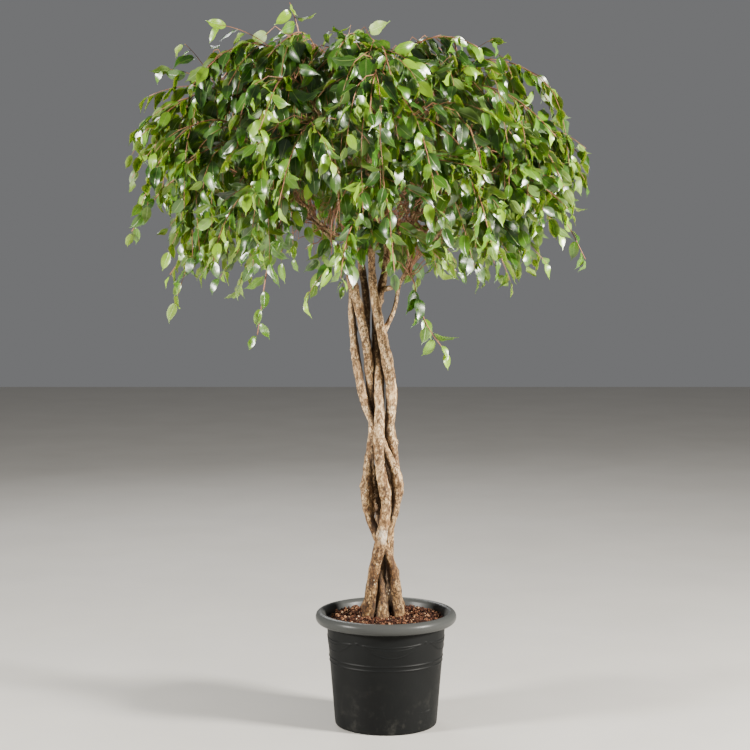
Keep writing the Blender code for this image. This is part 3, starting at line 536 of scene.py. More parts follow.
def part_pair(one, two, level, share):
    """Pushes two stems apart at a share of the way from one level to the next."""
    low_a, high_a, low_b, high_b = one[level], one[level + 1], two[level], two[level + 1]
    a = [low + (high - low) * share for low, high in zip(low_a, high_a)]
    b = [low + (high - low) * share for low, high in zip(low_b, high_b)]
    across, depth = b[0] - a[0], b[1] - a[1]
    apart = math.hypot(across, depth)
    wanted = a[3] * lean(low_a, high_a) + b[3] * lean(low_b, high_b) + STEM_CLEARANCE
    if apart >= wanted:
        return
    across, depth = across / apart * PUSH_ACROSS, depth / apart
    if abs(depth) < LEAST_PUSH:
        depth = math.copysign(LEAST_PUSH, depth)
    push = (wanted - apart) / 2 / math.hypot(across, depth)
    for end, weight in ((low_a, share - 1), (high_a, -share), (low_b, 1 - share), (high_b, share)):
        end[0] += across * push * weight
        end[1] += depth * push * weight


def lean(low, high):
    """How much wider a level cut of the stem is than the stem itself."""
    rise = high[2] - low[2]
    return math.hypot(high[0] - low[0], high[1] - low[1], rise) / rise


def ease(levels):
    """Smooths a stem a little along its length, in depth more than across."""
    for axis, share in enumerate(EASE_SHARES):
        old = [level[axis] for level in levels]
        for k in range(1, len(levels) - 1):
            levels[k][axis] += share * ((old[k - 1] + old[k + 1]) / 2 - old[k])


# Limbs carry each stem on into its own sector of the crown. Those that the photograph shows are routes
# given in millimetres; the others rise and spread by a rule. Each ends in smaller limbs, one to
# each leafy spray.
CROWN_MIDDLE = Vector((-0.070, 0.0, 0.0))
CROWN_DEPTH = 0.94
DOME_TOP = PLANT_HEIGHT - 0.045
DOME_FOOT = 1.300
DOME_POWER = 2.5


def in_crown(place, spare):
    """Whether a place is inside the crown's dome, drawn in by a spare distance and straight at its foot."""
    flat = place - CROWN_MIDDLE
    reach = math.hypot(flat.x, flat.y / CROWN_DEPTH) / (CROWN_SPAN / 2 - spare)
    rise = max(0.0, place.z - DOME_FOOT) / (DOME_TOP - DOME_FOOT - spare)
    return reach**DOME_POWER + rise**DOME_POWER < 1


def metres(points):
    """Places given in millimetres, as vectors in metres."""
    return [Vector(point) * MILLIMETRE for point in points]


def route_length(points):
    """The length along a route that is given as vectors."""
    return sum((b - a).length for a, b in zip(points, points[1:]))


def smooth_route(points, steps):
    """Evenly shared points on a smooth curve through a route's own points."""
    reach = [0.0]
    for a, b in zip(points, points[1:]):
        reach.append(reach[-1] + (b - a).length)
    route = []
    for k in range(steps + 1):
        where = reach[-1] * k / steps
        route.append(Vector([hermite([p[i] for p in points], reach, where) for i in range(3)]))
    return route


SECTORS = {
    "stem_front": 5,
    "stem_back": 75,
    "stem_left": 145,
    "stem_middle": 215,
    "stem_right": 290,
}
LIMB_ROUTES = {
    "stem_front": [
        ((-2, 22, 1115), (5, 24, 1150), (0, 26, 1195), (-5, 30, 1230), (15, 34, 1300), (45, 30, 1390),
         (80, 22, 1480), (120, 15, 1545)),
        ((-14, 22, 1080), (9, -4, 1087), (29, -25, 1097), (45, -37, 1113), (57, -42, 1135), (55, -48, 1160),
         (50, -53, 1195), (62, -60, 1250), (105, -62, 1320), (165, -50, 1385), (215, -40, 1430)),
        ((0, 26, 1190), (30, 34, 1225), (85, 45, 1275), (150, 50, 1330), (210, 50, 1370)),
    ],
    "stem_right": [
        ((-35, -8, 1135), (-38, -12, 1200), (-42, -28, 1290), (-40, -55, 1380), (-35, -85, 1470),
         (-30, -115, 1545)),
        ((-8, -19, 970), (17, 0, 1027), (29, 8, 1074), (38, 10, 1108), (62, 2, 1145), (105, -25, 1195),
         (155, -70, 1250), (195, -110, 1300)),
        ((-38, -12, 1185), (-25, -50, 1230), (-5, -110, 1290), (15, -175, 1350)),
    ],
    "stem_middle": [
        ((-89, -18, 1125), (-92, -26, 1195), (-98, -36, 1265), (-121, -50, 1373), (-145, -65, 1469),
         (-166, -75, 1526), (-194, -85, 1577), (-229, -95, 1612)),
        ((-90, -22, 1160), (-102, -45, 1212), (-128, -70, 1225), (-164, -100, 1247), (-191, -120, 1286),
         (-228, -140, 1338)),
    ],
    "stem_left": [
        ((-89, 20, 1125), (-98, 28, 1200), (-118, 48, 1300), (-145, 75, 1400), (-175, 100, 1490),
         (-210, 122, 1560)),
        ((-93, 22, 1155), (-130, 50, 1200), (-195, 90, 1260), (-265, 125, 1330)),
    ],
    "stem_back": [
        ((-64, 12, 1145), (-60, 30, 1220), (-50, 65, 1320), (-40, 105, 1430), (-35, 140, 1530)),
        ((-62, 22, 1190), (-45, 60, 1225), (-15, 125, 1280), (15, 195, 1345)),
        ((-55, 48, 1270), (-10, 85, 1310), (60, 115, 1370), (125, 135, 1430)),
    ],
}
LIMB_RADII = ((0.0095, 0.0042), (0.0062, 0.0036), (0.0058, 0.0036))
LIMB_FIT = 0.9
LIMB_STEP = 0.070
LEAST_STEPS = 3
FORK_RADII = (0.0040, 0.0027)
FORK_STEPS = 3
FORK_LEAST = 0.05
FLAT_RISE = 0.15
FLAT_COST = 0.25
BACK_COST = 0.1
FORK_TRIES = 12
FORK_AHEAD = 0.5
FORK_TOWARDS = 0.7
TWIG_RADIUS = 0.0024
TWIG_TIP = 0.0015
TWIG_STEPS = 5
TWIG_SWAY = 0.12
TWIG_TRIES = 40
TRY_STEEPER = 0.05
TRY_SHORTER = 0.012
TRIAL_START = 0.004
PULL_OUT = 0.25
MIDDLE_REACH = 0.02
CLEARANCE = 0.0015
TWIG_CLEARANCE = CLEARANCE * 1.5
OUTLINE_SLANT = Vector((0.3, 0.2, 0.93))
OUTLINE_GIRTH = 1.25

# Rings of leafy sprays: how many, how far out from the crown's middle and how high they start, the angle at
# which they leave, their length, and the turn of the ring.
RINGS = (
    (5, 0.090, 1.575, 60, 0.28, 20),
    (8, 0.195, 1.545, 42, 0.38, 5),
    (8, 0.270, 1.455, 36, 0.44, 28),
    (8, 0.290, 1.340, 24, 0.42, 8),
    (3, 0.170, 1.270, 8, 0.34, 50),
)
RING_TURN = 0.18
RING_STRETCH = (0.9, 1.1)
RING_LIFT = 0.02
RING_TILT = 6
END_LENGTH = (0.30, 0.38)
DROOP = 5.2
DROOP_SPREAD = (0.8, 1.25)


class Growth:
    """What has been grown so far, as closed outlines that nothing new may cross."""

    def __init__(self):
        self.kept = []

    def crosses(self, outline, skip=()):
        """Whether an outline crosses any that was kept, apart from those of the owners to skip."""
        points, faces = outline
        tree = BVHTree.FromPolygons(points, faces)
        middle, reach = around(points)
        for owner, other, other_middle, other_reach in self.kept:
            if owner in skip or (middle - other_middle).length > reach + other_reach:
                continue
            if tree.overlap(other):
                return True
        return False

    def keep(self, owner, outline):
        """Adds an outline under its owner's name."""
        points, faces = outline
        self.kept.append((owner, BVHTree.FromPolygons(points, faces), *around(points)))


def around(points):
    """The middle of some points and the reach of a ball round it that holds them all."""
    middle = sum(points, Vector()) / len(points)
    return middle, max((point - middle).length for point in points)


def tube_outline(points, radii):
    """A square tube round a route, as points and faces, for the tests of what crosses what."""
    corners, faces = [], []
    for k, (place, radius) in enumerate(zip(points, radii)):
        ahead = (points[min(k + 1, len(points) - 1)] - points[max(k - 1, 0)]).normalized()
        side = ahead.cross(OUTLINE_SLANT).normalized()
        over = side.cross(ahead)
        for turn in range(4):
            angle = math.pi / 2 * turn
            corners.append(place + (side * math.cos(angle) + over * math.sin(angle)) * radius * OUTLINE_GIRTH)
        if k:
            for turn in range(4):
                a, b = 4 * (k - 1) + turn, 4 * (k - 1) + (turn + 1) % 4
                faces.append((a, b, b + 4, a + 4))
    return corners, faces


def between(first, last, count):
    """Numbers that run evenly from the first to the last."""
    return [first + (last - first) * k / (count - 1) for k in range(count)]


def stem_at(levels, height):
    """A stem's centre and radius at a height."""
    k = max(0, min(len(levels) - 2, int((height - STEM_SINK) / STEM_STEP)))
    share = min(1.0, (height - levels[k][2]) / STEM_STEP)
    mixed = [low + (high - low) * share for low, high in zip(levels[k], levels[k + 1])]
    return Vector(mixed[:3]), mixed[3]


def limb(route, radii):
    """A main limb: a smooth tapering tube along a route."""
    points = smooth_route(route, max(LEAST_STEPS, round(route_length(route) / LIMB_STEP)))
    return points, between(*radii, len(points))


def fork_route(foot, heading, tip, leaving):
    """The smooth line of a small limb from the limb it forks from to the foot of a spray."""
    reach = (tip - foot).length
    return [cubic(foot, heading * reach, tip, leaving * reach, k / FORK_STEPS) for k in range(FORK_STEPS + 1)]


def arch(foot, heading, length, droop, wander):
    """A twig's route: it leaves along its heading and bends out and down under its leaves, with a little
    wander."""
    points = [foot]
    ahead = heading.copy()
    step = length / TWIG_STEPS
    pull = outward_of(foot) * PULL_OUT - Vector((0, 0, 1))
    for _ in range(TWIG_STEPS):
        points.append(points[-1] + ahead * step)
        sway = Vector((wander.uniform(-1, 1), wander.uniform(-1, 1), 0)) * TWIG_SWAY
        ahead = (ahead + pull * droop * step + sway).normalized()
    return points


def along(points, share):
    """The place and the direction at a share of a route's points."""
    where = share * (len(points) - 1)
    k = min(int(where), len(points) - 2)
    ahead = points[k + 1] - points[k]
    return points[k] + ahead * (where - k), ahead.normalized()


# Leafy sprays that the photograph shows by themselves: a tall shoot at the top, a twig that hangs low in
# front and one that hangs lowest at the left. Each has its stem, and its route given in millimetres from
# a limb of that stem, of which the first stretch is wood.
LONE_ROUTES = (
    ("stem_middle", ((-194, -85, 1577), (-199, -86, 1600), (-202, -87, 1640), (-205, -88, 1681),
                     (-214, -92, 1722), (-229, -96, 1768))),
    ("stem_front", ((57, -42, 1135), (62, -49, 1116), (69, -60, 1078), (86, -75, 1028), (103, -85, 992),
                    (122, -92, 965), (146, -97, 935))),
    ("stem_middle", ((-205, -128, 1308), (-228, -140, 1286), (-256, -152, 1236), (-276, -160, 1170),
                     (-290, -164, 1095), (-300, -166, 1020), (-306, -166, 985))),
)
LONE_WOOD = 0.035


def nearest_on(limbs, place):
    """The place on the middle lines of some limbs that is nearest to a given one."""
    best = None
    for points, _ in limbs:
        for a, b in zip(points, points[1:]):
            near, share = intersect_point_line(place, a, b)
            near = a if share < 0 else b if share > 1 else near
            if best is None or (near - place).length < (best - place).length:
                best = near
    return best


def lone_spray(limbs, route):
    """The little limb that bears a spray on a given route, and the twig that carries it on."""
    points = [nearest_on(limbs, Vector(route[0]) * MILLIMETRE), *metres(route[1:])]
    way = smooth_route(points, round(route_length(points) / LONE_WOOD))
    leaving = (way[1] - way[0]).normalized()
    twig = smooth_route([way[1] + leaving * LONE_WOOD / 4, *way[2:]], TWIG_STEPS)
    twig.insert(0, way[1] + leaving * GAP)
    return way[:2], (twig, between(TWIG_RADIUS, TWIG_TIP, len(twig)))


def ring_sprays(draw):
    """The foot and the heading of each spray of the rings, with its length and its stem."""
    sprays = []
    for count, reach, height, rise, length, turn in RINGS:
        for k in range(count):
            angle = math.radians(turn) + 2 * math.pi * (k + draw.uniform(-RING_TURN, RING_TURN)) / count
            far = reach * draw.uniform(*RING_STRETCH)
            outward = Vector((math.cos(angle), math.sin(angle) * CROWN_DEPTH, 0))
            foot = CROWN_MIDDLE + outward * far + Vector((0, 0, height + draw.uniform(-RING_LIFT, RING_LIFT)))
            steep = math.radians(rise + draw.uniform(-RING_TILT, RING_TILT))
            heading = (outward.normalized() * math.cos(steep) + Vector((0, 0, math.sin(steep)))).normalized()
            sprays.append((foot, heading, length * draw.uniform(*RING_STRETCH), nearest_sector(angle)))
    return sprays


def nearest_sector(angle):
    """The stem whose sector of the crown is nearest to an angle."""
    def off(name):
        return abs((math.degrees(angle) - SECTORS[name] + 180) % 360 - 180)

    return min(SECTORS, key=off)


def outward_of(place):
    """The level direction away from the crown's middle at one place, or forwards close to it."""
    flat = place - CROWN_MIDDLE
    flat.z = 0
    return flat.normalized() if flat.length > MIDDLE_REACH else Vector((0, -1, 0))


def fork_to(growth, stem, limbs, foot, heading):
    """The route of a small limb from the best place on the stem's limbs to a spray's foot, or nothing if
    all cross."""
    tries = []
    for points, radii in limbs:
        for k in range(2, len(points) - 1):
            run = foot - points[k]
            steep = run.z / max(run.length, 0.001)
            if run.length < FORK_LEAST:
                continue
            cost = run.length + (FLAT_COST if steep < FLAT_RISE else 0)
            tries.append((cost + BACK_COST * max(0, -heading.dot(run.normalized())), k, points))
    tries.sort(key=lambda each: each[0])
    for _, k, points in tries[:FORK_TRIES]:
        lead = (points[k + 1] - points[k]).normalized() * FORK_AHEAD
        lead = lead + (foot - points[k]).normalized() * FORK_TOWARDS
        route = fork_route(points[k], lead, foot, heading)
        radii = between(*FORK_RADII, len(route))
        if not growth.crosses(tube_outline(route, [radius + CLEARANCE for radius in radii]), skip=(stem,)):
            return route, radii
    return None


def grow_wood(stems, draw, growth):
    """Every stem with its limbs, as tubes of points and radii, the twigs on given routes, and the feet of
    the others."""
    wood, feet, twigs = {}, [], []
    for name, levels in stems.items():
        points, radii = [Vector(level[:3]) for level in levels], [level[3] for level in levels]
        wood[name] = [(points, radii)]
        growth.keep(name, tube_outline(points, radii))
    limbs = {name: [] for name in stems}
    for name, routes in LIMB_ROUTES.items():
        for route, radii in zip(routes, LIMB_RADII):
            foot, girth = stem_at(stems[name], route[0][2] * MILLIMETRE)
            points, sizes = limb([foot, *metres(route[1:])], (min(radii[0], girth * LIMB_FIT), radii[1]))
            limbs[name].append((points, sizes))
            wood[name].append((points, sizes))
            growth.keep(name, tube_outline(points, sizes))
            leaving = (points[-1] - points[-2]).normalized()
            feet.append((points[-1], leaving, draw.uniform(*END_LENGTH)))
    for stem, route in LONE_ROUTES:
        little, twig = lone_spray(limbs[stem], route)
        sizes = between(*FORK_RADII, len(little))
        wood[stem].append((little, sizes))
        growth.keep(stem, tube_outline(little, sizes))
        growth.keep("twig", tube_outline(*twig))
        twigs.append(twig)
    for foot, heading, length, stem in ring_sprays(draw):
        found = fork_to(growth, stem, limbs[stem], foot, heading)
        if found:
            route, sizes = found
            wood[stem].append((route, sizes))
            growth.keep(stem, tube_outline(route, sizes))
            feet.append((route[-1], (route[-1] - route[-2]).normalized(), length))
    return wood, twigs, feet


def grow_twig(growth, foot, heading, length, draw):
    """A drooping twig that crosses nothing, from just off the limb's end."""
    start = foot + heading * GAP
    for attempt in range(TWIG_TRIES):
        droop = DROOP * draw.uniform(*DROOP_SPREAD) * (1 + TRY_STEEPER * attempt)
        points = arch(start, heading, length * (1 - TRY_SHORTER * attempt), droop, draw)
        radii = between(TWIG_RADIUS, TWIG_TIP, len(points))
        trial = [points[0] + heading * TRIAL_START, *points[1:]]
        outline = tube_outline(trial, [radius + TWIG_CLEARANCE for radius in radii])
        if all(in_crown(point, TWIG_ROOM) for point in points) and not growth.crosses(outline):
            return points, radii
    return None


BOX_LOW, BOX_HIGH = (np.array(corner) for corner in cad_box)
BOX_SPARE = 0.0015
STEM_PRESS = 1.05
PRESS_TOP = 1.12
PRESS_FADE = 0.06
LEADER_LAP = 0.012
BARK_SEED = 100
FLUTES = ((2, 0.050), (3, 0.035), (5, 0.018))
FLUTE_TWIST = 12
SWELLINGS = ((0.021, 0.018), (0.048, 0.042), (0.110, 0.050))
SWELLING_SLANT = 0.8
KNOT_SPACING = 0.045
KNOT_SIZES = (0.10, 0.34)
KNOT_LENGTH = 0.007
KNOT_TURN = 0.55
LEAST_ROWS = 6
STEM_RING = 24
STEM_ROW = 0.0045
LIMB_RING = 12
LIMB_ROW = 0.008
FLARE = 0.14
FLARE_HEIGHT = 0.022
COLLAR = 0.45
LIMB_SLIM = 0.85
LIMB_ROUGHNESS = 0.6
COLLAR_REACH = 0.016
GRAFT_WEBS = (
    ("stem_middle", "stem_back", 0.520, 0.660, 0.0095),
    ("stem_back", "stem_right", 0.595, 0.668, 0.0085),
)
WEB_STEP = 0.005
WEB_ROWS = 9
WEB_BOW = 0.32
WEB_GIRTHS = (0.66, 1.10)
WEB_SEED = 41
SHOOTS_PER_STEM = 110
TANGLES = ((0.052, -0.03, 1.195), (-0.140, -0.07, 1.225))
TANGLE_REACH = 0.092
SHOOTS_IN_TANGLE = 26
TANGLE_LENGTH = (0.09, 0.17)
TANGLE_SWAY = 0.42
TANGLE_CURL = 6.0
FEET_AT_FORK = 60
FEET_ON_LIMB = 24
BARE_FEET = 4
SHOOT_LENGTH = (0.07, 0.20)
SHOOT_OUT = 0.7
SHOOT_UP = 0.8
SHOOT_SCATTER = 0.5
SHOOT_PULL = (0.4, 0.6)
SHOOT_RADII = (0.0016, 0.0006)
SHOOT_STEPS = 7
SHOOT_SIDES = 5
SHOOT_DROOP = 3.0
SHOOT_SPARE = 0.20
SHOOT_SWAY = 0.26
SHOOT_FLOOR = 1.12
HOLLOW_REACH = 0.022
HOLLOW_TURN = 0.7
GRAFTS = ((0.460, 0.20), (0.594, 0.26), (0.715, 0.16), (0.900, 0.12))
GRAFT_HALF = 0.024
LICHEN_MIDDLE = (-0.008, -0.030, 0.478)
LICHEN_REACH = (0.017, 0.030, 0.027)


def unit(vectors):
    """Vectors cut or stretched to a length of one, along the last axis of an array."""
    return vectors / np.maximum(np.linalg.norm(vectors, axis=-1, keepdims=True), 1e-9)


def smooth_line(knots, count):
    """Even places on a smooth curve through knots of place and radius: between neighbours a cubic that has
    the mean slope at each of them."""
    reach = np.concatenate([[0], np.cumsum(np.linalg.norm(np.diff(knots[:, :3], axis=0), axis=1))])
    slope = np.gradient(knots, reach, axis=0)
    where = np.linspace(0, reach[-1], count)
    k = np.clip(np.searchsorted(reach, where, side="right") - 1, 0, len(reach) - 2)
    span = (reach[k + 1] - reach[k])[:, None]
    share = (where - reach[k])[:, None] / span
    return cubic(knots[k], slope[k] * span, knots[k + 1], slope[k + 1] * span, share)


def tubes(paths, radii, sides, swell=0.0):
    """Closed round tubes along many paths at once. Each ring of spokes stands square to its path, its first
    spoke near the direction that the path turns in least, and a swell widens single spokes as a share of
    the radius."""
    ahead = unit(np.gradient(paths, axis=1))
    still = np.linalg.svd(ahead, full_matrices=False)[2][:, -1:, :]
    side = unit(still - ahead * (ahead * still).sum(axis=-1, keepdims=True))
    over = np.cross(ahead, side)
    turn = np.linspace(0, 2 * math.pi, sides, endpoint=False)[:, None]
    spokes = side[:, :, None] * np.cos(turn) + over[:, :, None] * np.sin(turn)
    rings = paths[:, :, None] + spokes * (radii[:, :, None] * (1 + swell))[..., None]
    count, rows = paths.shape[:2]
    points = np.concatenate([rings.reshape(count, rows * sides, 3), paths[:, :1], paths[:, -1:]], axis=1)
    size = rows * sides + 2
    walls, ends = closed_rings(rows, sides), fans(rows, sides, size - 2, size - 1)
    return points.reshape(-1, 3), copies(walls, count, size), copies(ends, count, size)


def shoot_tubes(routes, radii):
    """Thin tubes along many shoots at once, tapering from the first radius to the last."""
    taper = np.linspace(*radii, routes.shape[1])
    return tubes(routes, np.broadcast_to(taper, routes.shape[:2]), SHOOT_SIDES)


def run_length(route):
    """The length along a route that is given as an array."""
    return np.linalg.norm(np.diff(route, axis=0), axis=1).sum()


def bark_swell(along, turn, draw):
    """How much wider the bark stands at a reach along a stem and a turn round it, as a share of its radius:
    slow flutes that twist as they climb, short swellings, and round knots where shoots were pruned, each a
    bell."""
    swell = np.zeros((len(along), len(turn)))
    reach = along[:, None]
    for lobes, height in FLUTES:
        twist, phase = draw.uniform(-FLUTE_TWIST, FLUTE_TWIST), draw.uniform(0, 2 * math.pi)
        swell += height * np.sin(lobes * turn[None] + twist * reach + phase)
    for length, height in SWELLINGS:
        lean_angle, phase = draw.uniform(0, 2 * math.pi), draw.uniform(0, 2 * math.pi)
        slant = SWELLING_SLANT * np.sin(turn[None] + lean_angle)
        swell += height * np.sin(2 * math.pi * reach / length + phase + slant)
    knots = max(2, int(along[-1] / KNOT_SPACING))
    where = draw.uniform(0, along[-1], knots)[:, None, None]
    facing = draw.uniform(0, 2 * math.pi, knots)[:, None, None]
    size = draw.uniform(*KNOT_SIZES, knots)[:, None, None]
    off = np.abs((turn[None, None] - facing + math.pi) % (2 * math.pi) - math.pi)
    bells = np.exp(-(((reach[None] - where) / KNOT_LENGTH) ** 2) - (off / KNOT_TURN) ** 2)
    return swell + (size * bells).sum(axis=0)


def arches(feet, headings, lengths, pull, droop, steps, draw, sway=0.09):
    """The routes of many thin shoots at once: each leaves along its heading, and at every step is bent
    towards its pull and sways a little."""
    step = (lengths / steps)[:, None]
    route, ahead = [feet], headings
    for _ in range(steps):
        route.append(route[-1] + ahead * step)
        ahead = unit(ahead + pull * droop * step + draw.normal(0, sway, ahead.shape))
    return np.stack(route, axis=1)


def joined(parts):
    """Several meshes' corners and faces as one."""
    points, quads, triangles, start = [], [], [], 0
    for corners, fours, threes in parts:
        points.append(corners)
        quads.append(fours + start)
        triangles.append(threes + start)
        start += len(corners)
    return np.concatenate(points), np.concatenate(quads), np.concatenate(triangles)


def knots_of(points, radii):
    """Rows of a place and the radius there."""
    return np.array([(*point, radius) for point, radius in zip(points, radii)])


def stem_knots(tubes_of_stem):
    """The trunk's middle line up to where its leading limb starts, and on along that limb, with the flare at
    the soil, the extra girth by which the grown stems press together, and a swelling wherever they have
    grafted."""
    trunk, leader = knots_of(*tubes_of_stem[0]), knots_of(*tubes_of_stem[1])
    knots = np.concatenate([trunk[trunk[:, 2] < leader[0, 2] - LEADER_LAP], leader])
    height = knots[:, 2]
    pressed = 1 + (STEM_PRESS - 1) * np.clip((PRESS_TOP - height) / PRESS_FADE, 0, 1)
    flared = 1 + FLARE * np.exp(-np.maximum(height - SOIL_LEVEL, 0) / FLARE_HEIGHT)
    grafted = 1 + sum(swell * np.exp(-(((height - middle) / GRAFT_HALF) ** 2)) for middle, swell in GRAFTS)
    knots[:, 3] *= pressed * flared * grafted
    return knots


def round_limb(knots, row, ring, draw, rough=1.0):
    """One stem or limb with its bark, as corners and faces."""
    length = run_length(knots[:, :3])
    line = smooth_line(knots, max(LEAST_ROWS, round(length / row)))
    along = np.linspace(0, length, len(line))
    turn = np.linspace(0, 2 * math.pi, ring, endpoint=False)
    swell = rough * bark_swell(along, turn, draw)
    return tubes(line[None, :, :3], line[None, :, 3], ring, swell[None])


def outwards(places):
    """The level direction away from the crown's middle at each place."""
    return unit((places - np.array(CROWN_MIDDLE)) * (1, 1, 0))


def in_box(places):
    """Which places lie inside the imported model's box."""
    return ((places > BOX_LOW + BOX_SPARE) & (places < BOX_HIGH - BOX_SPARE)).all(axis=-1)


def crown_reach(places, spare=0.0):
    """How far out places lie, as a share of the crown's half span drawn in by a spare distance."""
    flat = places - np.array(CROWN_MIDDLE)
    return np.hypot(flat[..., 0], flat[..., 1] / CROWN_DEPTH) / (CROWN_SPAN / 2 - spare)


def inside_crown(places, spare):
    """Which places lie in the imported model's box and in the crown's dome drawn in by a spare distance."""
    rise = np.maximum(places[..., 2] - DOME_FOOT, 0) / (DOME_TOP - DOME_FOOT - spare)
    return (crown_reach(places, spare) ** DOME_POWER + rise**DOME_POWER < 1) & in_box(places)


def fine_shoots(limbs, draw):
    """The routes of many fine bare shoots from a stem's limbs, all inside the crown."""
    lines = np.concatenate([smooth_line(knots_of(*each), FEET_ON_LIMB)[BARE_FEET:] for each in limbs])
    feet = lines[draw.integers(0, len(lines), SHOOTS_PER_STEM), :3]
    flat = outwards(feet)
    headings = unit(flat * SHOOT_OUT + draw.normal(0, SHOOT_SCATTER, feet.shape) + (0, 0, SHOOT_UP))
    lengths = draw.uniform(*SHOOT_LENGTH, len(feet))
    pull = flat * SHOOT_PULL[0] - (0, 0, SHOOT_PULL[1])
    routes = arches(feet, headings, lengths, pull, SHOOT_DROOP, SHOOT_STEPS, draw, SHOOT_SWAY)
    return routes[inside_crown(routes, SHOOT_SPARE).all(axis=1) & (routes[:, :, 2] > SHOOT_FLOOR).all(axis=1)]


def tangled_shoots(limbs, middle, draw):
    """The routes of a stem's shoots in one of the tangles at the fork, which curl inside a small ball."""
    lines = np.concatenate([smooth_line(knots_of(*each), FEET_AT_FORK)[:, :3] for each in limbs])
    lines = lines[np.linalg.norm(lines - middle, axis=1) < TANGLE_REACH]
    if len(lines) == 0:
        return np.empty((0, SHOOT_STEPS + 1, 3))
    feet = lines[draw.integers(0, len(lines), SHOOTS_IN_TANGLE)]
    headings = unit(draw.normal(0, 1, feet.shape))
    back = unit(np.array(middle) - feet)
    lengths = draw.uniform(*TANGLE_LENGTH, len(feet))
    routes = arches(feet, headings, lengths, back, TANGLE_CURL, SHOOT_STEPS, draw, TANGLE_SWAY)
    return routes[(np.linalg.norm(routes - middle, axis=2) < TANGLE_REACH).all(axis=1)]


def graft_webs(own):
    """The bridges of bark where a stem has grown together with the one behind it: tubes from middle to
    middle, so close above one another that they close the gap. Each bows towards the middle height of its
    web as a parabola, so that the web ends in arches, and its girth wavers."""
    draw = np.random.default_rng(WEB_SEED)
    webs = []
    for near, far, low, high, girth in GRAFT_WEBS:
        if near != own:
            continue
        heights = np.arange(low, high, WEB_STEP)
        ends = [np.column_stack([braid_at(name, heights)[0], heights]) for name in (near, far)]
        share = np.linspace(0, 1, WEB_ROWS)[None, :, None]
        paths = ends[0][:, None] * (1 - share) + ends[1][:, None] * share
        paths[..., 2:] += ((low + high) / 2 - paths[..., 2:]) * WEB_BOW * 4 * share * (1 - share)
        webs.append(tubes(paths, girth * draw.uniform(*WEB_GIRTHS, paths.shape[:2]), LIMB_RING))
    return webs


def braid_at(name, heights):
    """The middle and the radius of a stem at many heights, and which of them are below its top."""
    across, depth, height, radius = np.array(stems[name]).T
    middle = np.stack([np.interp(heights, height, across), np.interp(heights, height, depth)], axis=-1)
    return middle, np.interp(heights, height, radius), heights < height[-1]


def hollows(points, own):
    """How deep each corner of a stem lies in the crevices of the braid: one where its bark faces another
    stem's close by, falling off with the gap between them and with the angle that it turns away. The bark's
    finish paints shade by it."""
    places, heights = points[:, :2], points[:, 2]
    outward = unit(places - braid_at(own, heights)[0])
    deep = np.zeros(len(points))
    for name in stems:
        if name == own:
            continue
        middle, radius, braided = braid_at(name, heights)
        way = middle - places
        gap = np.maximum(np.linalg.norm(way, axis=-1) - radius, 0)
        facing = np.clip((unit(way) * outward).sum(axis=-1), 0, 1)
        deep = np.maximum(deep, facing**HOLLOW_TURN * np.exp(-gap / HOLLOW_REACH) * braided)
    return deep


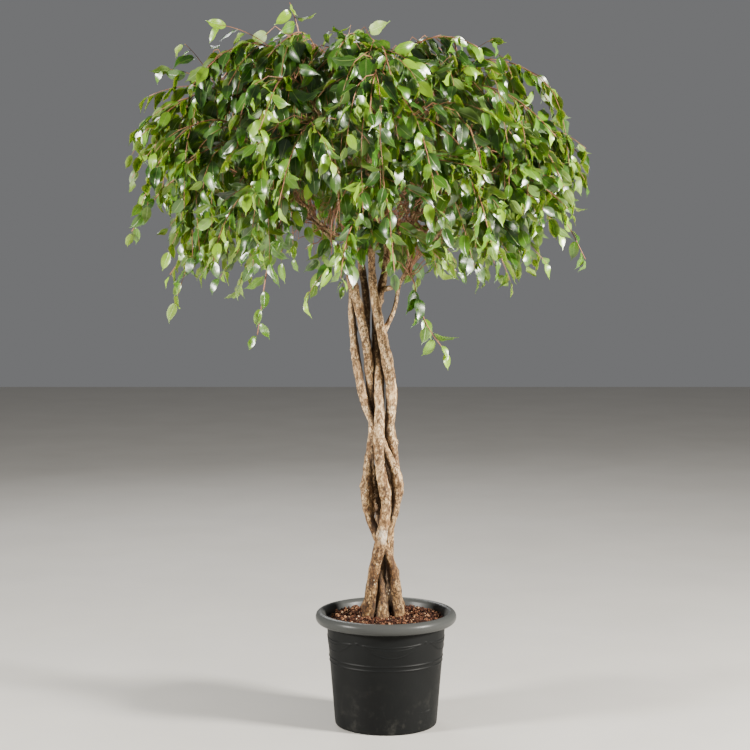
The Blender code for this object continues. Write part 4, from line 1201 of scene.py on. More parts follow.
def bark_finish():
    """Pale cream bark, mottled and stained brown and darker towards the soil, with painted shade in the
    crevices of the braid, a patch of lichen and whitish corky spots."""
    finish = Finish("fig bark", 0.72, 0.30)
    upright = finish.stretched((1.0, 1.0, 0.55))
    height = finish.split()["Z"]
    mottle = finish.noise(110.0, 8.0, 0.78, 0.3, upright)
    base = finish.ramp(mottle, (0.38, (0.075, 0.038, 0.015)), (0.46, (0.245, 0.145, 0.066)),
                       (0.53, (0.510, 0.345, 0.185)), (0.62, (0.870, 0.690, 0.450)))
    stain = finish.step(finish.noise(24.0, 7.0, 0.72, 0.6, upright), 0.46, 0.56)
    older = finish.ramp(height, (0.66, (0.95, 0.95, 0.95)), (0.84, (0.50, 0.50, 0.50)))
    stained = finish.blend(finish.maths("MULTIPLY", stain, older), base, (0.34, 0.25, 0.17), "MULTIPLY")
    fleck = finish.step(finish.noise(260.0, 4.0, 0.6, 0.0, upright), 0.50, 0.55)
    freckling = finish.maths("MULTIPLY", fleck, finish.step(finish.noise(16.0, 4.0, 0.6), 0.40, 0.50))
    stained = finish.blend(finish.maths("MULTIPLY", freckling, 0.85), stained, (0.045, 0.024, 0.011))
    # The bark is darker towards the soil.
    darker_low = finish.ramp(height, (0.27, (0.44, 0.37, 0.26)), (0.42, (0.66, 0.59, 0.48)),
                         (0.72, (1.0, 0.98, 0.93)))
    stained = finish.blend(1.0, stained, darker_low, "MULTIPLY")
    moved = finish.node("ShaderNodeMapping", Vector=finish.place, Scale=[1 / reach for reach in LICHEN_REACH],
                        Location=[-middle / reach for middle, reach in zip(LICHEN_MIDDLE, LICHEN_REACH)])
    away = finish.node("ShaderNodeVectorMath", operation="LENGTH", Vector=moved.outputs["Vector"])
    patchy = finish.step(finish.noise(110.0, 6.0, 0.7), 0.42, 0.54)
    lichen = finish.maths("MULTIPLY", finish.step(away.outputs["Value"], 1.1, 0.5), patchy)
    stained = finish.blend(finish.maths("MULTIPLY", lichen, 0.75), stained, (0.78, 0.70, 0.56))
    # Painted shade: dark brown laid on where the bark faces into the braid's crevices, with a ragged edge.
    ragged = finish.maths("MULTIPLY", finish.maths("SUBTRACT", finish.noise(120.0, 6.0, 0.75), 0.5), 0.9)
    crevice_shade_mask = finish.step(finish.maths("ADD", finish.mark("crevice_shade"), ragged), 0.14, 0.52)
    stained = finish.blend(finish.maths("MULTIPLY", crevice_shade_mask, 0.88), stained, (0.048, 0.028, 0.016))
    cork = finish.node("ShaderNodeTexVoronoi", Vector=upright, Scale=210.0, Randomness=1.0)
    corky = finish.step(finish.noise(26.0, 3.0), 0.54, 0.64)
    spots = finish.maths("MULTIPLY", finish.step(cork.outputs["Distance"], 0.30, 0.16), corky)
    freckled = finish.blend(finish.maths("MULTIPLY", spots, 0.70), stained, (0.80, 0.66, 0.46))
    ridges = finish.bump(finish.noise(95.0, 8.0, 0.70, 0.5, upright), 0.0035, 1.0)
    ringed = finish.noise(1.0, 4.0, 0.6, 0.3, finish.stretched((30.0, 30.0, 330.0)))
    rings = finish.bump(ringed, 0.0008, 0.6, ridges)
    return finish.put(Base_Color=freckled, Normal=finish.bump(spots, 0.0007, 0.6, rings))


def young_finish():
    """The reddish brown of thin young wood, paler where it is older."""
    finish = Finish("young twig bark", 0.55, 0.4)
    colour = finish.ramp(finish.noise(55.0, 5.0, 0.6), (0.30, (0.150, 0.055, 0.026)),
                         (0.55, (0.310, 0.135, 0.070)), (0.80, (0.500, 0.300, 0.190)))
    return finish.put(Base_Color=colour, Normal=finish.bump(finish.noise(400.0, 3.0), 0.0003, 0.5))


BARK, YOUNG = bark_finish(), young_finish()

stems = {name: stem_levels(knots) for name, knots in STEM_KNOTS.items()}
settle(stems)
growth, draw = Growth(), random.Random(SEED)
wood, twigs, feet = grow_wood(stems, draw, growth)
for foot, heading, length in feet:
    twig = grow_twig(growth, foot, heading, length, draw)
    if twig:
        growth.keep("twig", tube_outline(*twig))
        twigs.append(twig)

for number, (name, grown) in enumerate(wood.items()):
    rough = np.random.default_rng(BARK_SEED + number)
    parts = [round_limb(stem_knots(grown), STEM_ROW, STEM_RING, rough)]
    for points, radii in grown[2:]:
        knots = knots_of(points, radii)
        reach = np.linalg.norm(knots[:, :3] - knots[0, :3], axis=1)
        knots[:, 3] *= LIMB_SLIM * (1 + COLLAR * np.exp(-reach / COLLAR_REACH))
        parts.append(round_limb(knots, LIMB_ROW, LIMB_RING, rough, LIMB_ROUGHNESS))
    parts += graft_webs(name)
    tangled = [tangled_shoots(grown[1:], middle, rough) for middle in TANGLES]
    shoots = np.concatenate([fine_shoots(grown[1:], rough), *tangled])
    bark_corners, bark_quads, bark_triangles = joined(parts)
    shoot_mesh = shoot_tubes(shoots, SHOOT_RADII)
    points, quads, triangles = joined([(bark_corners, bark_quads, bark_triangles), shoot_mesh])
    young = [np.arange(len(quads)) >= len(bark_quads), np.arange(len(triangles)) >= len(bark_triangles)]
    stem = make_piece(f"{name}_bark", points, [quads, triangles], [BARK, YOUNG],
                      marks={"crevice_shade": hollows(points, name)}, slots=np.concatenate(young))
    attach(stem, "root")
    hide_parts(name)


# The soil is a potting mix of bark chips, clay granules and a little pumice, filled round the stems to a
# finger's breadth under the rim and left loose and uneven on top.
SOIL_MOUND = 0.008
SOIL_COLUMNS = 160
SOIL_ROWS = 44
SOIL_SPARE = 0.0008
SOIL_WAVES = 26
SOIL_WAVE = (0.012, 0.075)
SOIL_RELIEF = 0.0022
GRAINS = 3400
GRAIN_RADII = (0.0012, 0.0044)
GRAIN_DENTS = (0.65, 1.25)
PALE_GRAINS = 0.030
SOIL_SEED = 7
GRAIN_SEED = 11
GRAIN_CREASE = math.radians(35)
# The soil's body shows only between the grains and gets the darkest tone: painted shade in the gaps.
GAP_SHADE_TONE = 0.02


def soil_height(x, y, draw):
    """The height of the soil's top: a low mound, and sine waves of random heading, length and phase."""
    heading, phase = draw.uniform(0, 2 * math.pi, (2, SOIL_WAVES))
    length = draw.uniform(*SOIL_WAVE, SOIL_WAVES)
    run = x[..., None] * np.cos(heading) + y[..., None] * np.sin(heading)
    waves = np.sin(run * 2 * math.pi / length + phase).sum(axis=-1) / math.sqrt(SOIL_WAVES / 2)
    edge = outer_wall(SOIL_LEVEL) - WALL
    return SOIL_LEVEL + SOIL_MOUND * (1 - (x**2 + y**2) / edge**2) + SOIL_RELIEF * waves


def soil_body():
    """The body of the soil: a turned block that fills the pot, its top raised by the height above."""
    floor = CHANNEL_RISE + WALL + SOIL_SPARE
    edge = outer_wall(SOIL_LEVEL) - WALL - SOIL_SPARE
    across = np.linspace(0, edge, SOIL_ROWS)
    top = np.stack([across, np.full(SOIL_ROWS, SOIL_LEVEL)], axis=-1)
    heights = np.linspace(SOIL_LEVEL - 0.012, floor + 0.006, 6)
    side = np.stack([outer_wall(heights) - WALL - SOIL_SPARE, heights], axis=-1)
    base = np.array([(side[-1, 0] - 0.006, floor), (0.0, floor)])
    points, faces = turned(np.concatenate([top, side, base]), SOIL_COLUMNS)
    shown = points[:, 2] > SOIL_LEVEL - 0.001
    points[shown, 2] = soil_height(points[shown, 0], points[shown, 1], np.random.default_rng(SOIL_SEED))
    return points, faces


def icosahedron():
    """Twelve corners at a distance of one and the twenty faces between them, turned outwards."""
    golden = (1 + math.sqrt(5)) / 2
    corners = [(0, a, b * golden) for a in (-1, 1) for b in (-1, 1)]
    corners += [(a, b * golden, 0) for a in (-1, 1) for b in (-1, 1)]
    corners += [(b * golden, 0, a) for a in (-1, 1) for b in (-1, 1)]
    corners = np.array(corners, dtype=float)
    faces = []
    for trio in itertools.combinations(range(12), 3):
        a, b, c = corners[list(trio)]
        if max(np.linalg.norm(a - b), np.linalg.norm(b - c), np.linalg.norm(c - a)) < 2.1:
            outward = np.dot(np.cross(b - a, c - a), a) > 0
            faces.append(trio if outward else trio[::-1])
    return unit(corners), np.array(faces)


def random_turns(count, draw):
    """Rotation matrices in every direction alike, from random four-part turns of length one."""
    w, x, y, z = unit(draw.normal(size=(count, 4))).T
    return np.stack([
        np.stack([1 - 2 * (y * y + z * z), 2 * (x * y - z * w), 2 * (x * z + y * w)], axis=-1),
        np.stack([2 * (x * y + z * w), 1 - 2 * (x * x + z * z), 2 * (y * z - x * w)], axis=-1),
        np.stack([2 * (x * z - y * w), 2 * (y * z + x * w), 1 - 2 * (x * x + y * y)], axis=-1),
    ], axis=1)


def grains():
    """Loose grains on the soil: icosahedra with every corner moved in or out, stretched, turned and strewn,
    but not where a stem stands. Gives corners, faces and each corner's tone."""
    draw = np.random.default_rng(GRAIN_SEED)
    ball, faces = icosahedron()
    reach = (outer_wall(SOIL_LEVEL) - WALL - 0.005) * np.sqrt(draw.uniform(0, 1, GRAINS))
    turn = draw.uniform(0, 2 * math.pi, GRAINS)
    x, y = reach * np.cos(turn), reach * np.sin(turn)
    free = np.ones(GRAINS, dtype=bool)
    for levels in stems.values():
        centre, girth = stem_at(levels, SOIL_LEVEL)
        free &= np.hypot(x - centre.x, y - centre.y) > girth * STEM_PRESS
    x, y = x[free], y[free]
    count = len(x)
    size = draw.uniform(*GRAIN_RADII, count) * draw.uniform(0.6, 1.0, count)
    axes = size[:, None] * draw.uniform(0.35, 1.45, (count, 3))
    shape = ball[None] * draw.uniform(*GRAIN_DENTS, (count, len(ball), 1)) * axes[:, None]
    shape = np.einsum("nij,nkj->nki", random_turns(count, draw), shape)
    height = soil_height(x, y, np.random.default_rng(SOIL_SEED)) + size * draw.uniform(0.0, 0.7, count)
    points = shape + np.stack([x, y, height], axis=-1)[:, None]
    tone = draw.uniform(0, 1 - PALE_GRAINS * 2, count)
    tone[draw.uniform(0, 1, count) < PALE_GRAINS] = 1.0
    return points.reshape(-1, 3), copies(faces, count, len(ball)), np.repeat(tone, len(ball))


def soil_finish():
    """Reddish brown bark and clay, with painted shade between the grains, and a few pale ones."""
    finish = Finish("bark and clay potting mix", 0.92, 0.15)
    grain = finish.ramp(finish.mark("tone"), (0.0, (0.016, 0.006, 0.004)), (0.40, (0.055, 0.020, 0.011)),
                        (0.72, (0.135, 0.055, 0.030)), (0.92, (0.320, 0.172, 0.090)),
                        (1.0, (0.600, 0.420, 0.260)))
    speckle = finish.ramp(finish.noise(420.0, 5.0, 0.65), (0.3, (0.25, 0.23, 0.22)), (0.7, (1.0, 0.98, 0.95)))
    mottled = finish.blend(0.45, grain, speckle, "MULTIPLY")
    return finish.put(Base_Color=mottled, Normal=finish.bump(finish.noise(700.0, 6.0, 0.7), 0.0008, 0.8))


body_points, body_faces = soil_body()
grain_points, grain_faces, grain_tones = grains()
soil = make_piece(
    "soil_mix",
    np.concatenate([body_points, grain_points]),
    [*body_faces, grain_faces + len(body_points)],
    [soil_finish()],
    marks={"tone": np.concatenate([np.full(len(body_points), GAP_SHADE_TONE), grain_tones])},
)
soil.data.set_sharp_from_angle(angle=GRAIN_CREASE)
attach(soil, "root")
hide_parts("soil")


# The crown is sprays of leaves that arch out and weep. Each is a thin reddish twig with alternate side
# shoots, and hung from them on short stalks are glossy leaves, folded along the midrib, waved, and drawn
# out into a drip tip.
SIDE_SHOOTS = 14
SIDE_SHARES = (0.10, 0.92)
SIDE_AHEAD = 0.55
SIDE_ASIDE = (0.45, 1.1)
SIDE_OUT = (0.0, 0.5)
SIDE_UP = (-0.2, 0.35)
SIDE_LINE_RISE = 0.3
SIDE_SHORTENING = 0.4
SHARE_JITTER = (-0.03, 0.03)
WEEPERS = 12
WEEP_SHARES = (0.05, 0.85)
WEEP_AHEAD = 0.5
WEEP_SCATTER = 0.45
WEEP_DOWN = 0.2
WEEP_GAP = 0.04
WEEP_LENGTH = (0.15, 0.54)
WEEP_LEAST = 0.07
WEEP_PULL = 16.0
LEAVES_ON_WEEPER = 8
HEM_LEAF = 0.045
HEM_HEIGHT = 1.075
HEM_TOP = 1.30
HEM_SLOPE = 1.5
HEM_LIFTS = ((-0.045, 0.050, 0.085), (0.055, 0.050, 0.205))
HEM_FRONT = 0.03
SIDE_STEPS = 6
SIDE_DROOP = 7.0
STRAND_ROWS = 9
STRAND_REACH = 0.09
STRAND_RISE = 0.09
STRAND_TURN = 1.60
STRAND_ARCH = 0.08
STRAND_TIPS = (
    (-0.395, -0.10, 1.715), (-0.480, -0.08, 1.672), (-0.535, -0.05, 1.615), (-0.568, -0.06, 1.550),
    (-0.590, -0.07, 1.475), (-0.612, -0.05, 1.410), (-0.520, -0.10, 1.180), (-0.510, -0.06, 1.055),
    (-0.394, -0.16, 1.120), (-0.350, -0.22, 1.085), (-0.190, -0.20, 1.075), (-0.105, -0.17, 1.100),
    (-0.137, -0.05, 1.705), (-0.085, -0.10, 1.715), (-0.012, -0.06, 1.685), (0.130, -0.05, 1.695),
    (0.255, -0.05, 1.685), (0.390, -0.05, 1.570), (0.480, -0.05, 1.425), (0.475, -0.08, 1.350),
    (0.440, -0.10, 1.290), (0.385, -0.09, 1.150), (0.345, -0.14, 1.165), (0.310, -0.10, 1.140),
    (0.262, -0.17, 1.130), (0.215, -0.12, 1.130), (0.165, -0.17, 1.135), (-0.255, -0.14, 1.210),
    (-0.220, -0.19, 1.200), (-0.190, -0.12, 1.245), (-0.130, -0.16, 1.150), (0.150, -0.16, 1.640),
    (0.110, -0.22, 1.600), (0.190, -0.20, 1.615), (0.290, -0.20, 1.115), (0.235, -0.05, 1.120),
    (0.340, -0.05, 1.150), (-0.300, -0.16, 1.150), (-0.440, -0.08, 1.130), (0.140, -0.13, 1.150),
    (0.185, -0.08, 1.135), (0.125, -0.21, 1.165), (0.205, -0.21, 1.145), (0.410, -0.12, 1.230),
    (-0.330, 0.05, 1.640), (-0.240, 0.04, 1.665), (-0.160, 0.07, 1.680), (-0.090, 0.03, 1.690),
    (-0.020, 0.07, 1.685), (0.050, 0.03, 1.675), (0.130, 0.06, 1.655), (0.210, 0.04, 1.630),
)
DOME_LINE = ((0.0, 1.700), (0.5, 1.675), (0.7, 1.640), (0.8, 1.590), (0.9, 1.500), (1.0, 1.360))
DOME_TILT = 0.10
DOME_EDGE = 0.05
SPARSE = 0.35
SIDE_LENGTH = (0.10, 0.25)
SIDE_RADII = (0.0011, 0.0006)
MAIN_ROWS = 18
LEAVES_ON_SIDE = 7
LEAVES_ON_MAIN = 14
LEAVES_ON_LONE = 9
SIDE_LEAFY = (0.18, 1.0)
MAIN_LEAFY = (0.10, 1.0)
STRAND_LEAFY = (0.15, 1.0)
LEAF_AHEAD = (0.35, 0.75)
LEAF_ASIDE = (0.20, 0.85)
LEAF_OUT = (0.05, 0.70)
LEAF_DOWN = (0.25, 1.05)
LEAF_RISE = 0.1
LEAF_FACING = 0.35
LEAF_ROLL = (-0.9, 0.9)
LEAF_SCATTER = 0.55
TIP_SHRINKING = 0.30
KEPT_HEADING = 0.15
TURNED_IN = 0.2
STRAND_SPACING = 0.022
STRAND_LEAVES = (4, 14)
BARE_REACH = 0.115
BARE_TOP = 1.24
TRUNK_ACROSS = -0.005
WINDOWS = ((-0.080, 0.040, 1.000, 1.155), (-0.008, 0.105, 1.110, 1.275), (-0.205, -0.100, 1.190, 1.300))
WINDOW_CLEARED = 0.92
BLADE_LENGTH = 0.078
BLADE_WIDTH = 0.0310
LEAF_SIZES = (0.70, 1.06)
TWIG_SLIM = 0.75
TWIG_SIDES = 6
BLADE_THICKNESS = 0.0007
STALK_SHARE = 0.13
LEAF_GLOW = (0.15, (0.35, 0.60, 0.08), 0.010)
LEAF_CREASE = math.radians(100)
STALK_RADIUS = 0.0006
BLADE_ROWS = (0.04, 0.13, 0.25, 0.38, 0.51, 0.64, 0.75, 0.84, 0.93)
BLADE_BEND = (0.2, 1.2)
BLADE_FOLD = (0.02, 0.55)
BLADE_WAVE = (0.08, 0.28)
WAVE_START = (0.0, 6.3)
WAVE_TURN = 13
WAVE_LAG = 1.7
BLADE_TWIST = (-0.8, 0.8)
BLADE_HOOK = (-0.8, 0.8)
HOOK_START = 0.6
BLADE_RING = (-1.0, 0.0, 1.0, 0.0)
BLADE_FACE = (0, 1, 0, -1)
UNDER_COLUMN = 2
DRIP_TIP = 0.16
EGG_WIDEST = 0.4125
TIP_WIDTH = 0.07
SIDE_SPARE = 0.048
LIT_DEPTH = 0.06
LIT_HEM = 1.18
TONE_SPREAD = (1.8, 3.2)
LIT_OUTSIDE_TONE = 0.16
TIP_TONE = 0.20
FRESH_TONE = 0.20
FRESH_LEAVES = 0.08
SPRAY_SEED = 300


def blade_half_width(share):
    """Half the width of a blade at a share of its length: an egg shape that is fullest below its middle,
    and from its end a narrow drip tip."""
    body = np.clip(share / (1 - DRIP_TIP), 0, 1)
    egg = body**0.55 * (1 - body) ** 0.75
    return np.maximum(egg / EGG_WIDEST, TIP_WIDTH * (1 - share) / DRIP_TIP)


def blades(feet, headings, facings, sizes, draw):
    """Many leaves at once, each a tube of flattened rings from its stalk to its tip. The middle line bends
    down along an arc; across it the blade is folded up in a shallow V and its edge is waved by a sine along
    the length."""
    count = len(feet)
    bend, fold, wave, phase, twist, hook = (
        draw.uniform(low, high, (count, 1, 1))
        for low, high in (BLADE_BEND, BLADE_FOLD, BLADE_WAVE, WAVE_START, BLADE_TWIST, BLADE_HOOK)
    )
    blade_share = np.array(BLADE_ROWS)
    share = np.concatenate([[0.0, STALK_SHARE], STALK_SHARE + (1 - STALK_SHARE) * blade_share])[None, :, None]
    half = np.concatenate([[0.0, 0.0], blade_half_width(blade_share)])[None, :, None] * BLADE_WIDTH / 2
    half = half + STALK_RADIUS
    thick = np.concatenate([[STALK_RADIUS] * 2, np.full(len(BLADE_ROWS), BLADE_THICKNESS / 2)])[None, :, None]
    ring, face = np.array(BLADE_RING)[None, None], np.array(BLADE_FACE)[None, None]
    side_wave = np.sin(share * WAVE_TURN + phase + np.where(ring < 0, WAVE_LAG, 0.0)) * wave * np.abs(ring)
    drawn = hook * np.maximum(share - HOOK_START, 0) ** 2
    across = ring * half * np.cos(fold)
    rise = (np.abs(ring) * np.sin(fold) + side_wave) * half + face * thick
    turn = twist * share
    across, rise = across * np.cos(turn) - rise * np.sin(turn), across * np.sin(turn) + rise * np.cos(turn)
    angle = bend * share
    along = BLADE_LENGTH * np.sin(angle) / bend + rise * np.sin(angle)
    up = -BLADE_LENGTH * (1 - np.cos(angle)) / bend + rise * np.cos(angle)
    along, across, up = np.broadcast_arrays(along, across + drawn * BLADE_LENGTH, up)
    tip = [np.sin(bend) / bend, hook * (1 - HOOK_START) ** 2, -(1 - np.cos(bend)) / bend]
    tip = np.concatenate(tip, axis=-1) * BLADE_LENGTH
    local = np.stack([along, across, up], axis=-1).reshape(count, -1, 3)
    local = np.concatenate([local, np.zeros((count, 1, 3)), tip], axis=1) * sizes[:, None, None]
    sides = unit(np.cross(facings, headings))
    uprights = np.cross(headings, sides)
    frames = np.stack([headings, sides, uprights], axis=1)
    points = feet[:, None] + local @ frames
    rows, columns = share.shape[1], len(BLADE_RING)
    size = rows * columns + 2
    quads, triangles = closed_rings(rows, columns), fans(rows, columns, size - 2, size - 1)
    # Each underside quad is split along the diagonal that lies under the face's, so that the two never cross.
    quads = quads.reshape(-1, columns, 4)
    quads[:, UNDER_COLUMN:] = np.roll(quads[:, UNDER_COLUMN:], -1, axis=-1)
    quads = quads.reshape(-1, 4)
    wrap = np.stack(np.broadcast_arrays(share[0], (ring[0] + 1) / 2), axis=-1).reshape(-1, 2)
    wrap = np.concatenate([wrap, [(0.0, 0.5), (1.0, 0.5)]])
    under = np.tile(np.arange(columns) >= UNDER_COLUMN, rows - 1)
    return points, copies(quads, count, size), copies(triangles, count, size), wrap, under


def leaf_places(routes, shares, draw):
    """Where leaves leave some shoots: the foot, the shoot's direction there, left or right in turn, and the
    share of the shoot's length."""
    count, last = routes.shape[0], routes.shape[1] - 1
    where = np.clip(shares[None] + draw.uniform(*SHARE_JITTER, (count, len(shares))), 0, 1) * last
    k = np.minimum(where.astype(int), last - 1)
    row = np.arange(count)[:, None]
    ahead = routes[row, k + 1] - routes[row, k]
    feet = routes[row, k] + ahead * (where - k)[..., None]
    hands = (-1.0) ** (np.arange(len(shares))[None] + np.arange(count)[:, None])
    return feet.reshape(-1, 3), unit(ahead).reshape(-1, 3), hands.reshape(-1, 1), where.reshape(-1) / last


def sideways(ahead, outward, hands):
    """The directions to the left or right of shoots, square to them and to a line that rises outwards."""
    return unit(np.cross(ahead, outward + (0, 0, SIDE_LINE_RISE))) * hands


def hang_leaves(ahead, hands, outward, draw):
    """Headings and facings of leaves: each hangs from its shoot to one side and faces outward and up."""
    one_each = (len(ahead), 1)
    side = sideways(ahead, outward, hands)
    headings = unit(
        np.minimum(ahead, (1, 1, LEAF_RISE)) * draw.uniform(*LEAF_AHEAD, one_each)
        + side * draw.uniform(*LEAF_ASIDE, one_each)
        + outward * draw.uniform(*LEAF_OUT, one_each)
        - np.array([0, 0, 1]) * draw.uniform(*LEAF_DOWN, one_each)
    )
    facings = (outward + (0, 0, 1)) * LEAF_FACING + side * draw.uniform(*LEAF_ROLL, one_each)
    facings += draw.normal(0, LEAF_SCATTER, facings.shape)
    return headings, facings


def above_hem(places):
    """Which places are above the crown's hem: a level ring that rises outwards, and is lifted by bells at
    the front, where the trunk's top and its bare twigs show."""
    lift = sum(rise * np.exp(-(((places[..., 0] - middle) / half) ** 4)) for middle, half, rise in HEM_LIFTS)
    lift = lift * (places[..., 1] < HEM_FRONT)
    return places[..., 2] > np.maximum(HEM_HEIGHT + lift, HEM_TOP - (1 - crown_reach(places)) / HEM_SLOPE)


def weeping_routes(line, draw):
    """The routes of shoots that soon hang straight down from a spray's twig, to the hem at most."""
    feet, ahead = leaf_places(line[None], draw.uniform(*WEEP_SHARES, WEEPERS), draw)[:2]
    room = feet[:, 2] - HEM_HEIGHT - HEM_LEAF - draw.uniform(0, WEEP_GAP, WEEPERS)
    lengths = np.minimum(draw.uniform(*WEEP_LENGTH, WEEPERS), room)
    headings = unit(ahead * WEEP_AHEAD + draw.normal(0, WEEP_SCATTER, ahead.shape) - (0, 0, WEEP_DOWN))
    long = lengths > WEEP_LEAST
    down = np.broadcast_to((0.0, 0.0, -1.0), headings.shape)
    return arches(feet[long], headings[long], lengths[long], down[long], WEEP_PULL, SIDE_STEPS, draw)


def side_routes(line, draw):
    """The routes of a spray's side shoots, from alternate sides of its twig, shorter towards its tip."""
    shares = np.linspace(*SIDE_SHARES, SIDE_SHOOTS) + draw.uniform(*SHARE_JITTER, SIDE_SHOOTS)
    feet, ahead, hands = leaf_places(line[None], shares, draw)[:3]
    one_each = (len(feet), 1)
    outward = outwards(feet)
    headings = unit(
        ahead * SIDE_AHEAD
        + sideways(ahead, outward, hands) * draw.uniform(*SIDE_ASIDE, one_each)
        + outward * draw.uniform(*SIDE_OUT, one_each)
        + np.array([0, 0, 1]) * draw.uniform(*SIDE_UP, one_each)
    )
    lengths = draw.uniform(*SIDE_LENGTH, len(feet)) * (1 - SIDE_SHORTENING * shares)
    return arches(feet, headings, lengths, outward * PULL_OUT - (0, 0, 1), SIDE_DROOP, SIDE_STEPS, draw)


def leaf_finish(name, roughness, specular):
    """What both sides of a leaf have: a finish that lets light through, the leaf's tone, the share of its
    length, and how far off the midrib a place lies."""
    finish = Finish(name, roughness, specular)
    finish.glow(*LEAF_GLOW)
    wrap = finish.split(finish.node("ShaderNodeUVMap", uv_map="leaf").outputs["UV"])
    off = finish.maths("ABSOLUTE", finish.maths("SUBTRACT", wrap["Y"], 0.5))
    return finish, finish.mark("tone"), wrap["X"], off


def face_finish():
    """The upper face of a leaf: waxy and glossy, from deep green to yellow green, with a pale midrib and
    faint veins."""
    finish, tone, share, off = leaf_finish("fig leaf face", 0.31, 0.85)
    green = finish.ramp(tone, (0.0, (0.006, 0.024, 0.002)), (0.40, (0.021, 0.074, 0.003)),
                        (0.70, (0.066, 0.178, 0.005)), (1.0, (0.210, 0.400, 0.010)))
    cloud = finish.ramp(finish.noise(90.0, 4.0), (0.3, (0.72, 0.74, 0.70)), (0.7, (1.0, 1.0, 1.0)))
    shaded = finish.blend(0.6, green, cloud, "MULTIPLY")
    swept = finish.maths("SUBTRACT", share, finish.maths("MULTIPLY", off, 0.35))
    veins = finish.step(finish.maths("SINE", finish.maths("MULTIPLY", swept, 80.0)), 0.80, 1.0)
    veined = finish.blend(finish.maths("MULTIPLY", veins, 0.10), shaded, (0.13, 0.22, 0.05))
    midrib = finish.step(off, 0.045, 0.012)
    ribbed = finish.blend(finish.maths("MULTIPLY", midrib, 0.60), veined, (0.20, 0.28, 0.07))
    stalked = finish.blend(finish.step(share, 0.15, 0.11), ribbed, (0.17, 0.20, 0.05))
    dip = finish.bump(midrib, 0.0004, 0.6)
    return finish.put(Base_Color=stalked, Normal=finish.bump(veins, 0.00005, 0.4, dip))


def underside_finish():
    """The underside: paler, greyer and duller, with its midrib standing out."""
    finish, tone, _, off = leaf_finish("fig leaf underside", 0.50, 0.4)
    green = finish.ramp(tone, (0.0, (0.034, 0.074, 0.013)), (0.5, (0.064, 0.124, 0.020)),
                        (1.0, (0.175, 0.280, 0.040)))
    midrib = finish.step(off, 0.055, 0.015)
    ribbed = finish.blend(finish.maths("MULTIPLY", midrib, 0.7), green, (0.24, 0.32, 0.11))
    return finish.put(Base_Color=ribbed, Normal=finish.bump(midrib, 0.0005, 0.7))


FACE, UNDERSIDE = face_finish(), underside_finish()


def sparse(places, draw):
    """Which places are thinned out: most of those above the crown's dense dome, whose height falls off with
    the reach from its middle, and a little towards the right."""
    dome = np.interp(crown_reach(places), *np.array(DOME_LINE).T) - DOME_TILT * np.maximum(places[:, 0], 0)
    above = np.clip((places[:, 2] - dome) / DOME_EDGE, 0, 1)
    return draw.uniform(0, 1, len(places)) < above * (1 - SPARSE)


def in_window(places, draw):
    """Which places are cleared because they hide the trunk's top or its tangled twigs from the front: most
    of those that the viewer sees, against the upright plane through the pot's middle, inside one of the
    windows."""
    eye_place = np.array(CAMERA_PLACE)
    seen = eye_place + (places - eye_place) * (eye_place[1] / (eye_place[1] - places[:, 1:2]))
    hidden = np.zeros(len(places), dtype=bool)
    for left, right, bottom, top in WINDOWS:
        hidden |= (seen[:, 0] > left) & (seen[:, 0] < right) & (seen[:, 2] > bottom) & (seen[:, 2] < top)
    return hidden & (places[:, 1] < HEM_FRONT) & (draw.uniform(0, 1, len(places)) < WINDOW_CLEARED)


def strand_to(tip):
    """A thin shoot to a given tip from the nearest twig a little inside and above it, or below it at the
    crown's top, as an arch: a straight line raised by a parabola. Gives the number of the twig and the
    route."""
    tip = np.array(tip)
    rise = STRAND_RISE if tip[2] < STRAND_TURN else -STRAND_RISE
    wanted = tip - outwards(tip) * STRAND_REACH + (0, 0, rise)
    nearest = [np.linalg.norm(np.array(points) - wanted, axis=1) for points, _ in twigs]
    number = min(range(len(LONE_ROUTES), len(twigs)), key=lambda k: nearest[k].min())
    foot = np.array(twigs[number][0][int(nearest[number].argmin())])
    share = np.linspace(0, 1, STRAND_ROWS)[:, None]
    arch = np.linalg.norm(tip - foot) * STRAND_ARCH * 4 * share * (1 - share)
    return number, foot + (tip - foot) * share + arch * (0, 0, 1)


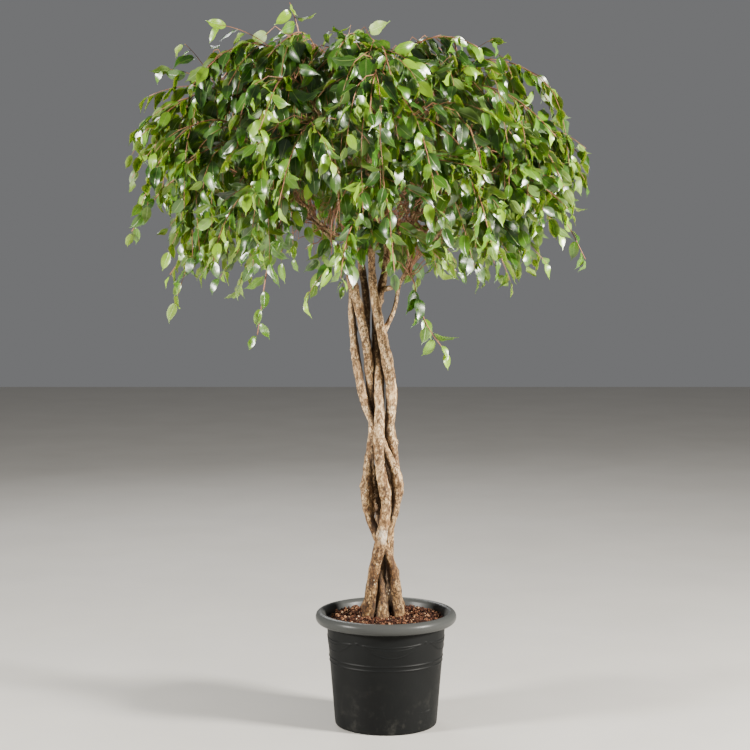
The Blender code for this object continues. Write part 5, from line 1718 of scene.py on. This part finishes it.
def make_spray(name, points, radii, side_shoots, on_main, strands, draw):
    """One spray: its twig, side shoots and strands as tubes, and the leaves hung from them."""
    line = smooth_line(knots_of(points, radii), MAIN_ROWS)
    main = line[:, :3]
    wood_parts = [tubes(main[None], line[None, :, 3] * TWIG_SLIM, TWIG_SIDES)]
    places = [leaf_places(main[None], np.linspace(*MAIN_LEAFY, on_main), draw)]
    for strand in strands:
        count = int(np.clip(run_length(strand) / STRAND_SPACING, *STRAND_LEAVES))
        wood_parts.append(shoot_tubes(strand[None], SIDE_RADII))
        places.append(leaf_places(strand[None], np.linspace(*STRAND_LEAFY, count), draw))
    by_hand = sum(len(each[0]) for each in places)
    if side_shoots:
        shoots = ((side_routes(main, draw), LEAVES_ON_SIDE), (weeping_routes(main, draw), LEAVES_ON_WEEPER))
        for routes, leaves in shoots:
            tips, tops = routes[:, -1], routes[np.arange(len(routes)), routes[:, :, 2].argmax(axis=1)]
            wanted = inside_crown(tips, SIDE_SPARE) & above_hem(tips - (0, 0, HEM_LEAF)) & ~sparse(tops, draw)
            routes = routes[wanted]
            wood_parts.append(shoot_tubes(routes, SIDE_RADII))
            places.append(leaf_places(routes, np.linspace(*SIDE_LEAFY, leaves), draw))
    feet, ahead, hands, shares = (np.concatenate(parts) for parts in zip(*places))
    free = np.arange(len(feet)) >= by_hand
    outward = outwards(feet) if side_shoots else np.broadcast_to((0.0, -1.0, 0.0), feet.shape)
    headings, facings = hang_leaves(ahead, hands, outward, draw)
    sizes = draw.uniform(*LEAF_SIZES, len(feet)) * (1 - TIP_SHRINKING * shares**4)
    lengths = (BLADE_LENGTH * sizes)[:, None]
    outside = ~in_box(feet + headings * lengths)
    headings[outside] = unit(headings[outside] * KEPT_HEADING - outward[outside] * TURNED_IN - (0, 0, 1))
    facings = unit(facings - headings * (facings * headings).sum(axis=-1, keepdims=True))
    tips = feet + headings * lengths
    bare = (np.hypot(tips[:, 0] - TRUNK_ACROSS, tips[:, 1]) < BARE_REACH) & (tips[:, 2] < BARE_TOP)
    kept = in_box(tips) & ~(free & (bare | in_window((feet + tips) / 2, draw)))
    blade_points, quads, triangles, wrap, under = blades(
        feet[kept], headings[kept], facings[kept], sizes[kept], draw)
    blade_points = np.clip(blade_points, BOX_LOW + BOX_SPARE / 2, BOX_HIGH - BOX_SPARE / 2)
    count, size = blade_points.shape[:2]
    # Painted light: leaves on the crown's outside and low along its hem get a lighter tone, where the lamps
    # fall on them.
    outer = ~inside_crown(tips[kept], LIT_DEPTH) | (tips[kept][:, 2] < LIT_HEM)
    tones = draw.beta(*TONE_SPREAD, count) + LIT_OUTSIDE_TONE * outer + TIP_TONE * shares[kept] ** 4
    tones = np.clip(tones + FRESH_TONE * (draw.uniform(0, 1, count) < FRESH_LEAVES), 0, 1)
    wood_points, wood_quads, wood_triangles = joined(wood_parts)
    start = len(wood_points)
    finishes = np.concatenate([
        np.full(len(wood_quads), 2),
        np.tile(under, count),
        np.full(len(wood_triangles), 2),
        np.zeros(len(triangles), dtype=int),
    ])
    spray = make_piece(
        name,
        np.concatenate([wood_points, blade_points.reshape(-1, 3)]),
        [wood_quads, quads + start, wood_triangles, triangles + start],
        [FACE, UNDERSIDE, YOUNG],
        marks={"tone": np.concatenate([np.zeros(start), np.repeat(tones, size)])},
        wraps={"leaf": np.concatenate([np.zeros((start, 2)), np.tile(wrap, (count, 1))])},
        slots=finishes,
    )
    spray.data.set_sharp_from_angle(angle=LEAF_CREASE)
    return spray


strands = [strand_to(tip) for tip in STRAND_TIPS]
for number, (points, radii) in enumerate(twigs):
    lone = number < len(LONE_ROUTES)
    place = f"{number + 1:02d}"
    spray = make_spray(
        f"leafy_spray_{place}",
        points,
        radii,
        not lone,
        LEAVES_ON_LONE if lone else LEAVES_ON_MAIN,
        [route for bearer, route in strands if bearer == number],
        np.random.default_rng(SPRAY_SEED + number),
    )
    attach(spray, "root")
    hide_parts(f"spray_{place}")
